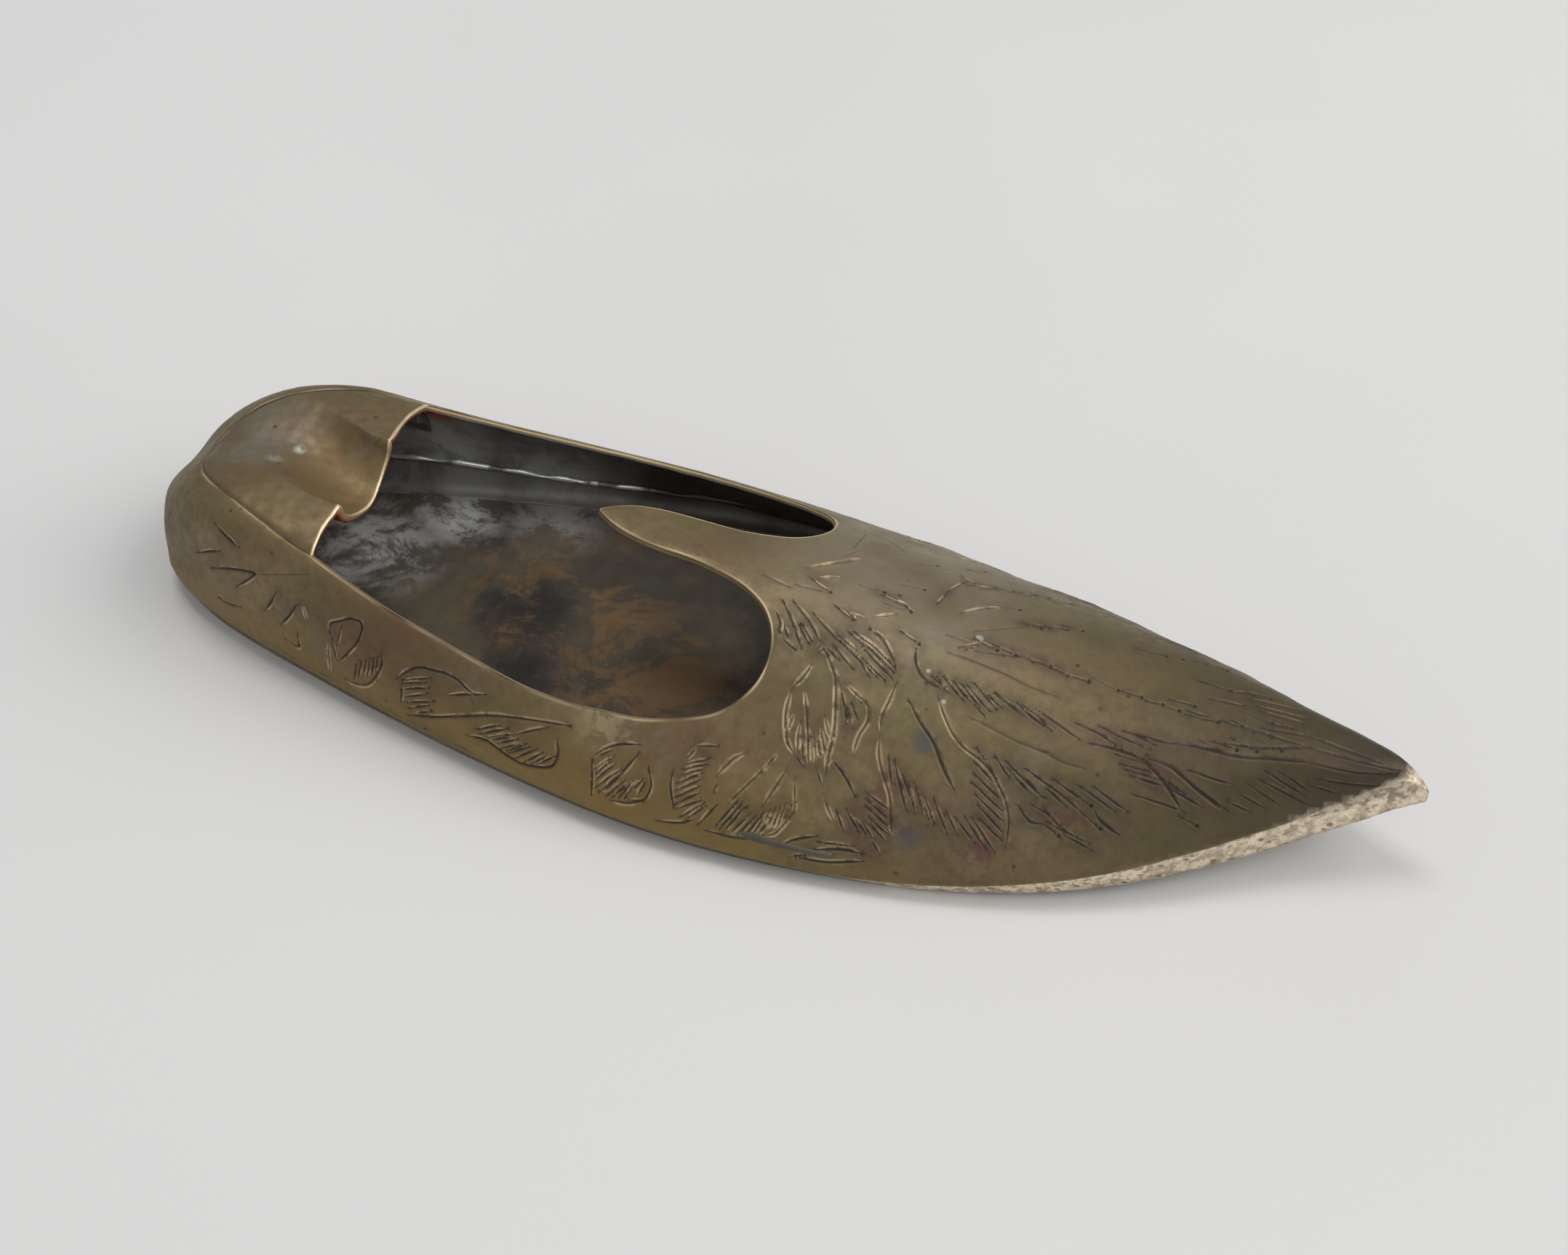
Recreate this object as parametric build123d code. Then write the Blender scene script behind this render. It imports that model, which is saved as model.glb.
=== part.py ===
from build123d import *
import os
import numpy as np

# Cast brass ashtray in the shape of a pointed slipper. Millimetres, +Z up, +X from heel to toe.
# The origin is at the bottom centre of the bounding box, on the flat sole that it rests on.

# ---- driving dimensions -------------------------------------------------
LENGTH = 150.0          # station of the toe tip
HEEL_X0 = 1.95          # station of the heel end
HEEL_X1 = 22.0          # where the rounded heel end begins
HEEL_RUN = HEEL_X1 - HEEL_X0
WALL = 1.4              # cast wall thickness
SOLE_T = 1.6            # sole thickness under the well
STRIP = 5.0             # height of the sole's ground edge at the toe tip
HEEL_BULGE_Z = 3.84      # height of the widest line of the heel
HEEL_EDGE_X = 28.0      # front edge of the heel rest
GROOVE_R = 5.8          # radius of the cigarette groove
GROOVE_Y = -1.4         # its axis, a little to the near side
GROOVE_TILT = 9.0       # degrees, it runs out toward the back
GROOVE_DEPTH = 4.9      # at the front edge
CAVITY_X0, CAVITY_X1 = 3.55, 131.0
FILLET_SOLE = 2.2       # leg of the solder fillet inside, wall to sole
FILLET_HEEL = 1.5       # leg of the solder bead under the heel rest

# half width of the widest line
XW = [22, 38, 55, 72, 90, 108, 124, 138, 144.5, 148, 150.]
W = [16.97, 20.96, 24.39, 26.41, 25.7, 22.1, 15.3, 6.3, 2.5, 0.75, 0.2]
# rim line: half width and height
XR = [22, 36, 50, 64, 78, 95, 115, 135, 144.5, 148, 150.]
R = [13.71, 16.58, 19.39, 20.61, 19.22, 15.6, 11.07, 5.0, 1.7, 0.45, 0.1]
ZR = [17.75, 14.75, 12.28, 10.99, 11.2, 12.4, 13.3, 13.8, 13.75, 12.97, 10.82]
# crown line height
XC = [22, 45, 57, 70, 90, 110, 130, 140, 145, 148, 150.]
ZC = [18.4, 20.3, 21.0, 20.4, 18.4, 16.8, 15.4, 14.75, 14.15, 13.1, 10.9]
# underside, rising at the toe
XS = [75, 95, 115, 135, 143, 150.]
S = [0, 0, 1.0, 3.4, 6.2, 9.75]
# plan outline of the foot opening, half of it, from the heel rest round to the tongue tip
OPEN = [(28, 14.2), (36, 16.2), (44, 17.9), (52, 19.3), (58, 20.0), (64, 20.2), (70, 19.6), (75, 18.2),
        (78.6, 16.2), (80.6, 13.4), (81.0, 10.5), (80.2, 7.8), (78.2, 5.6), (75, 4.1), (71, 3.3),
        (66.5, 3.1), (62, 2.6), (59, 1.5), (56.8, 0)]
# plan outline of the heel rest, half of it
HEEL = [(28.6, 14.35), (23, 13.0), (18.3, 11.2), (12.7, 8.3), (9.7, 5.6), (8.0, 0)]


# ---- curves -------------------------------------------------------------
def ncs(X, V, x):
    """natural cubic spline"""
    X = np.asarray(X, float); V = np.asarray(V, float); n = len(X); h = np.diff(X)
    A = np.eye(n); b = np.zeros(n)
    for i in range(1, n - 1):
        A[i, i - 1] = h[i - 1]; A[i, i] = 2 * (h[i - 1] + h[i]); A[i, i + 1] = h[i]
        b[i] = 6 * ((V[i + 1] - V[i]) / h[i] - (V[i] - V[i - 1]) / h[i - 1])
    M = np.linalg.solve(A, b)
    x = np.asarray(x, float); k = np.clip(np.searchsorted(X, x) - 1, 0, n - 2)
    t = x - X[k]; H = h[k]
    c = (V[k + 1] - V[k]) / H - H * (2 * M[k] + M[k + 1]) / 6
    return V[k] + c * t + M[k] / 2 * t * t + (M[k + 1] - M[k]) / (6 * H) * t ** 3


def pch(X, V, x):
    """monotone cubic"""
    X = np.asarray(X, float); V = np.asarray(V, float); h = np.diff(X); d = np.diff(V) / h
    m = np.zeros(len(X)); m[0] = d[0]; m[-1] = d[-1]
    for i in range(1, len(X) - 1):
        if d[i - 1] * d[i] > 0:
            w1 = 2 * h[i] + h[i - 1]; w2 = h[i] + 2 * h[i - 1]
            m[i] = (w1 + w2) / (w1 / d[i - 1] + w2 / d[i])
    x = np.clip(np.asarray(x, float), X[0], X[-1]); k = np.clip(np.searchsorted(X, x) - 1, 0, len(X) - 2)
    t = (x - X[k]) / h[k]
    return ((1 + 2 * t) * (1 - t) ** 2 * V[k] + t * (1 - t) ** 2 * h[k] * m[k]
            + t * t * (3 - 2 * t) * V[k + 1] + t * t * (t - 1) * h[k] * m[k + 1])


def knots(x):
    """sole edge half width, widest half width, underside z, widest z, rim half width, rim z, crown z"""
    x = np.atleast_1d(np.asarray(x, float))
    t = np.clip((HEEL_X1 - x) / HEEL_RUN, 0, 1); xc = np.clip(x, HEEL_X1, LENGTH)
    back = np.clip(HEEL_X1 - x, 0, None)
    kw = (1 - t ** 3.2) ** (1 / 3.2); kh = (1 - t ** 2.55) ** (1 / 2.55); kr = (1 - t ** 2.28) ** (1 / 2.28)
    w = (ncs(XW, W, xc) - back * 0.273) * kw
    r = np.minimum((ncs(XR, R, xc) - back * 0.103) * kr, w * 0.96)
    zs = np.where(x > 75, pch(XS, S, x), 0)
    k = np.clip((x - 95) / 55, 0, 1)
    zb = 3.89 - 2.86 * x / 150; zb = zs + zb * (1 - k) + STRIP * k
    zb = zb - 4.1 * np.clip((x - 146.3) / 3.7, 0, 1) ** 1.8      # the ground tip
    zr = ncs(XR, ZR, xc); zc = ncs(XC, ZC, xc)
    hb = HEEL_BULGE_Z
    heel = x < HEEL_X1
    zr = np.where(heel, hb + (zr - hb) * kh, zr); zc = np.where(heel, hb + (zc - hb) * kh, zc)
    zb = np.where(heel, np.minimum(zb, hb * 0.9), zb)
    ws = np.maximum(w - 1.3 * np.clip(w / 6, 0, 1), w * 0.6); ws = w - (w - ws) * (1 - k) + 0.4 * np.clip((x - 140) / 8, 0, 1)
    return ws, w, zs, zb, r, zr, zc


def dome(x, n):
    """points over the top of the sections at x, from the near widest line to the far one"""
    ws, w, zs, zb, r, zr, zc = knots(x)
    u = np.linspace(0, 4, n); ku = [0, 1, 2, 3, 4]
    y = np.array([ncs(ku, [-w[i], -r[i], 0, r[i], w[i]], u) for i in range(len(w))])
    z = np.array([ncs(ku, [zb[i], zr[i], zc[i], zr[i], zb[i]], u) for i in range(len(w))])
    return y, z


# ---- outer solid --------------------------------------------------------
def section(x, pts, low):
    """closed section face at x: a spline over the top and straight lines round the bottom"""
    top = Spline(*[(x, float(a), float(b)) for a, b in pts])
    p = [(x, float(a), float(b)) for a, b in low]
    ring = [(x, float(pts[-1][0]), float(pts[-1][1]))] + p + [(x, float(pts[0][0]), float(pts[0][1]))]
    lines = [Line(ring[i], ring[i + 1]) for i in range(len(ring) - 1)]
    return Wire([top.edge() if hasattr(top, "edge") else top] + [e.edge() for e in lines])


N = 17
outer_x = [2.07, 2.5, 3.4, 4.9, 7.1, 10.2, 13.8, 17.8, 22, 29, 37, 46, 55, 64, 73, 82, 91, 100, 109, 118, 126, 133, 139,
           143, 146.2, 148.2, 150.0]
oy, oz = dome(outer_x, N)
K = knots(outer_x)
wires = []
for i, x in enumerate(outer_x):
    ws, w, zs, zb = K[0][i], K[1][i], K[2][i], K[3][i]
    # the sides run on 1 mm below the sole's plane, then the plane cuts the flat that it rests on
    d = float(np.interp(x, [88, 100, 106], [1.0, 0.2, 0.0]))
    ws = ws - (w - ws) / (zb - zs) * d
    zs = zs - d
    wires.append(section(x, list(zip(oy[i], oz[i])), [(ws, zs), (-ws, zs)]))
outer = Solid.make_loft(wires) & (Pos(75, 0, 25) * Box(200, 100, 50))
outer = sorted(outer.solids(), key=lambda q: -q.volume)[0]

# ---- inner solid: the outer skin moved inward by the wall thickness --------
fx = np.concatenate([HEEL_X1 - HEEL_RUN * np.cos(np.linspace(0.03, np.pi / 2, 40)),
                     np.linspace(HEEL_X1, LENGTH, 220)[1:]])
fy, fz = dome(fx, 41)
P = np.stack([np.broadcast_to(fx[:, None], fy.shape), fy, fz], -1)
nrm = np.cross(np.gradient(P, axis=1), np.gradient(P, axis=0))
nrm /= np.linalg.norm(nrm, axis=-1, keepdims=True)
Q = P + WALL * nrm * np.sign(-nrm[100, 20, 2])
inner_x = [3.55, 4.3, 5.8, 8.0, 11, 14.5, 18.2, 22, 29, 37, 46, 55, 64, 73, 82, 91, 100, 109, 117, 124, CAVITY_X1]
iw = []
for x in inner_x:
    row = []
    for j in range(0, 41, 2):
        c = Q[:, j]; o = np.argsort(c[:, 0])
        row.append((np.interp(x, c[o, 0], c[o, 1]), np.interp(x, c[o, 0], c[o, 2])))
    row = [(a, b) for a, b in row]
    iw.append(section(x, row, [(row[-1][0], -3.0), (row[0][0], -3.0)]))
inner = Solid.make_loft(iw)


# ---- sole: the slab under the well, thickening to the toe's ground edge -----
def sole_top(x):
    ws, w, zs, zb, r, zr, zc = knots(x)
    k = np.clip((np.asarray(x) - 95) / 32, 0, 1); k = k * k * (3 - 2 * k)
    return zs + SOLE_T * (1 - k) + (zb - zs) * k


sx = np.array([-5, 20, 50, 80, 95, 103, 111, 119, 127, 134, 140, 145, 150.0, 156.0])
sz = sole_top(np.clip(sx, 0.2, 150)); sz[-1] = sz[-2] + (sz[-2] - sz[-3]) * 1.1
line1 = Line((-5, 0, float(sz[0])), (95, 0, float(sz[4])))
curve = Spline(*[(float(a), 0, float(b)) for a, b in zip(sx[4:], sz[4:])], tangents=[(1, 0, 0), (1, 0, 0.55)])
prof = Wire([line1.edge(), curve.edge(), Line((156, 0, float(sz[-1])), (156, 0, -10)).edge(),
             Line((156, 0, -10), (-5, 0, -10)).edge(), Line((-5, 0, -10), (-5, 0, float(sz[0]))).edge()])
sole_zone = extrude(Face(prof), amount=45, dir=(0, 1, 0), both=True)

# ---- plan outlines ------------------------------------------------------
half = [(x, y) for x, y in OPEN]
far_side = Spline(*[(x, y, 0) for x, y in half])
near_side = Spline(*[(x, -y, 0) for x, y in half])
plan = Wire([far_side.edge(), near_side.edge(), Line((28, -14.2, 0), (28, 14.2, 0)).edge()])
opening = extrude(Face(plan), amount=40, dir=(0, 0, 1)).moved(Location((0, 0, 5)))
hp = HEEL[:-1] + [HEEL[-1]] + [(x, -y) for x, y in HEEL[-2::-1]]
heel_curve = Spline(*[(x, y, 0) for x, y in hp])
hplan = Wire([heel_curve.edge(), Line((HEEL[0][0], -HEEL[0][1], 0), (HEEL[0][0], HEEL[0][1], 0)).edge()])
heel_zone = extrude(Face(hplan), amount=40, dir=(0, 0, 1)).moved(Location((0, 0, 8)))

# ---- split --------------------------------------------------------------
def one(s):
    """largest solid of a result"""
    return sorted(s.solids(), key=lambda q: -q.volume)[0]


body = outer - sole_zone
sole_plate = one(outer & sole_zone)
shell = body - inner
upper = one((shell - opening) - heel_zone)
plate = one(shell & heel_zone)

# ---- heel rest: the plate with its half-round groove ------------------------
zf = float(np.interp(abs(GROOVE_Y), [0, 14], [18.6, 17.0]))
axis_z = zf - GROOVE_DEPTH + GROOVE_R
lead = 5.0              # the cutter starts this far in front of the edge
tilt = np.radians(GROOVE_TILT)
loc = Location((HEEL_EDGE_X + 0.6 + lead * np.cos(tilt), GROOVE_Y, axis_z - lead * np.sin(tilt)),
               (0, -90 + GROOVE_TILT, 0))
cutter = loc * Cylinder(GROOVE_R, 60, align=(Align.CENTER, Align.CENTER, Align.MIN))
trough = loc * Cylinder(GROOVE_R + WALL, 60, align=(Align.CENTER, Align.CENTER, Align.MIN))
under_top = outer & heel_zone
trough = one(trough & under_top)
heel_rest = one((plate + trough) - cutter)

# ---- solder fillets -----------------------------------------------------
cavity = inner - sole_zone


def inset(off, x0, x1):
    """plan outline of the well floor, moved inward by off"""
    xx = np.concatenate([x0 + off + (HEEL_X1 - x0) * (1 - np.cos(np.linspace(0.0, np.pi / 2, 9))),
                         [34, 46, 58, 70, 82, x1]])
    q = Q[:, 0]; o = np.argsort(q[:, 0])
    yy = np.interp(xx - off, q[o, 0], -q[o, 1]) - off
    yy[0] = 0
    return xx, np.maximum(yy, 0)


def floor_face(off, z):
    xx, yy = inset(off, CAVITY_X0, 93.0)
    pts = [(float(a), float(b), z) for a, b in zip(xx[::-1], yy[::-1])] + [(float(a), -float(b), z)
                                                                          for a, b in zip(xx[1:], yy[1:])]
    return Wire([Spline(*pts).edge(), Line(pts[-1], pts[0]).edge()])


core = Solid.make_loft([floor_face(FILLET_SOLE, SOLE_T - 0.5), floor_face(FILLET_SOLE * 0.45, SOLE_T + FILLET_SOLE * 0.35),
                        floor_face(0.05, SOLE_T + FILLET_SOLE)])
band = Pos(46, 0, SOLE_T + FILLET_SOLE / 2) * Box(94, 80, FILLET_SOLE)
sole_fillet = one((cavity & band) - core)


def heel_outline(off):
    """the heel rest's plan outline, moved outward by off, open at the front edge"""
    a = np.array(hp, float); d = np.gradient(a, axis=0); n = np.stack([d[:, 1], -d[:, 0]], 1)
    n /= np.linalg.norm(n, axis=1, keepdims=True)
    if n[len(n) // 2, 0] > 0:
        n = -n
    b = a + n * off; b[0, 0] = b[-1, 0] = HEEL_EDGE_X - 0.4
    pts = [(float(x), float(y), 0) for x, y in b]
    return extrude(Face(Wire([Spline(*pts).edge(), Line(pts[-1], pts[0]).edge()])), amount=40).moved(Location((0, 0, 8)))


layer = cavity - cavity.moved(Location((0, 0, -FILLET_HEEL)))
bead = (layer & heel_outline(FILLET_HEEL)) - heel_outline(-FILLET_HEEL)
heel_fillet = one(bead - trough)

os.makedirs("parts", exist_ok=True)
mid = (outer_x[0] + LENGTH) / 2
for name, s in (("upper_shell", upper), ("sole_plate", sole_plate), ("heel_rest", heel_rest),
                ("sole_solder_fillet", sole_fillet), ("heel_solder_fillet", heel_fillet)):
    s = s.moved(Location((-mid, 0, 0)))
    print(name, s.is_valid, round(s.volume, 1), s.bounding_box())
    export_step(s, "parts/" + name + ".step")
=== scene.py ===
import bpy, math, json
import numpy as np
from mathutils import Vector, Matrix
from mathutils.geometry import delaunay_2d_cdt


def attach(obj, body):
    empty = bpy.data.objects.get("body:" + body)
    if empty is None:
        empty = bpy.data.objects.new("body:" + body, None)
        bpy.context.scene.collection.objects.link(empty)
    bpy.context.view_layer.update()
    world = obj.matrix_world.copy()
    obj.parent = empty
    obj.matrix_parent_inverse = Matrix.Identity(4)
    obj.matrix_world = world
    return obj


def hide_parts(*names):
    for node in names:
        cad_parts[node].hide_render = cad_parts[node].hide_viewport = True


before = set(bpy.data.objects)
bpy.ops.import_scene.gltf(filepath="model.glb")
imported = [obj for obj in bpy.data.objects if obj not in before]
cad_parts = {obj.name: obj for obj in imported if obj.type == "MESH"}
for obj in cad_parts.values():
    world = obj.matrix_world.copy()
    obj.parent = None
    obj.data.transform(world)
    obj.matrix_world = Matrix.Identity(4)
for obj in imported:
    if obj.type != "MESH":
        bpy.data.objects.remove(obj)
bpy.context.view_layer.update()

# Pointed slipper ashtray of cast brass. Lengths below are millimetres from the heel end, MID moves them to the frame.
MID = 76.035
LENGTH, HEEL_X0, HEEL_X1, WALL, SOLE_T, STRIP, HB = 150.0, 1.95, 22.0, 1.4, 1.6, 5.0, 3.84
HEEL_RUN = HEEL_X1 - HEEL_X0
XW = [22, 38, 55, 72, 90, 108, 124, 138, 144.5, 148, 150.]
W = [16.97, 20.96, 24.39, 26.41, 25.7, 22.1, 15.3, 6.3, 2.5, 0.75, 0.2]
XR = [22, 36, 50, 64, 78, 95, 115, 135, 144.5, 148, 150.]
R = [13.71, 16.58, 19.39, 20.61, 19.22, 15.6, 11.07, 5.0, 1.7, 0.45, 0.1]
ZR = [17.75, 14.75, 12.28, 10.99, 11.2, 12.4, 13.3, 13.8, 13.75, 12.97, 10.82]
XC = [22, 45, 57, 70, 90, 110, 130, 140, 145, 148, 150.]
ZC = [18.4, 20.3, 21.0, 20.4, 18.4, 16.8, 15.4, 14.75, 14.15, 13.1, 10.9]
XS = [75, 95, 115, 135, 143, 150.]
S = [0, 0, 1.0, 3.4, 6.2, 9.75]
OPEN = [(28, 14.2), (36, 16.2), (44, 17.9), (52, 19.3), (58, 20.0), (64, 20.2), (70, 19.6), (75, 18.2),
        (78.6, 16.2), (80.6, 13.4), (81.0, 10.5), (80.2, 7.8), (78.2, 5.6), (75, 4.1), (71, 3.3),
        (66.5, 3.1), (62, 2.6), (59, 1.5), (56.8, 0)]
HEEL = [(28.6, 14.35), (23, 13.0), (18.3, 11.2), (12.7, 8.3), (9.7, 5.6), (8.0, 0)]
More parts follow.
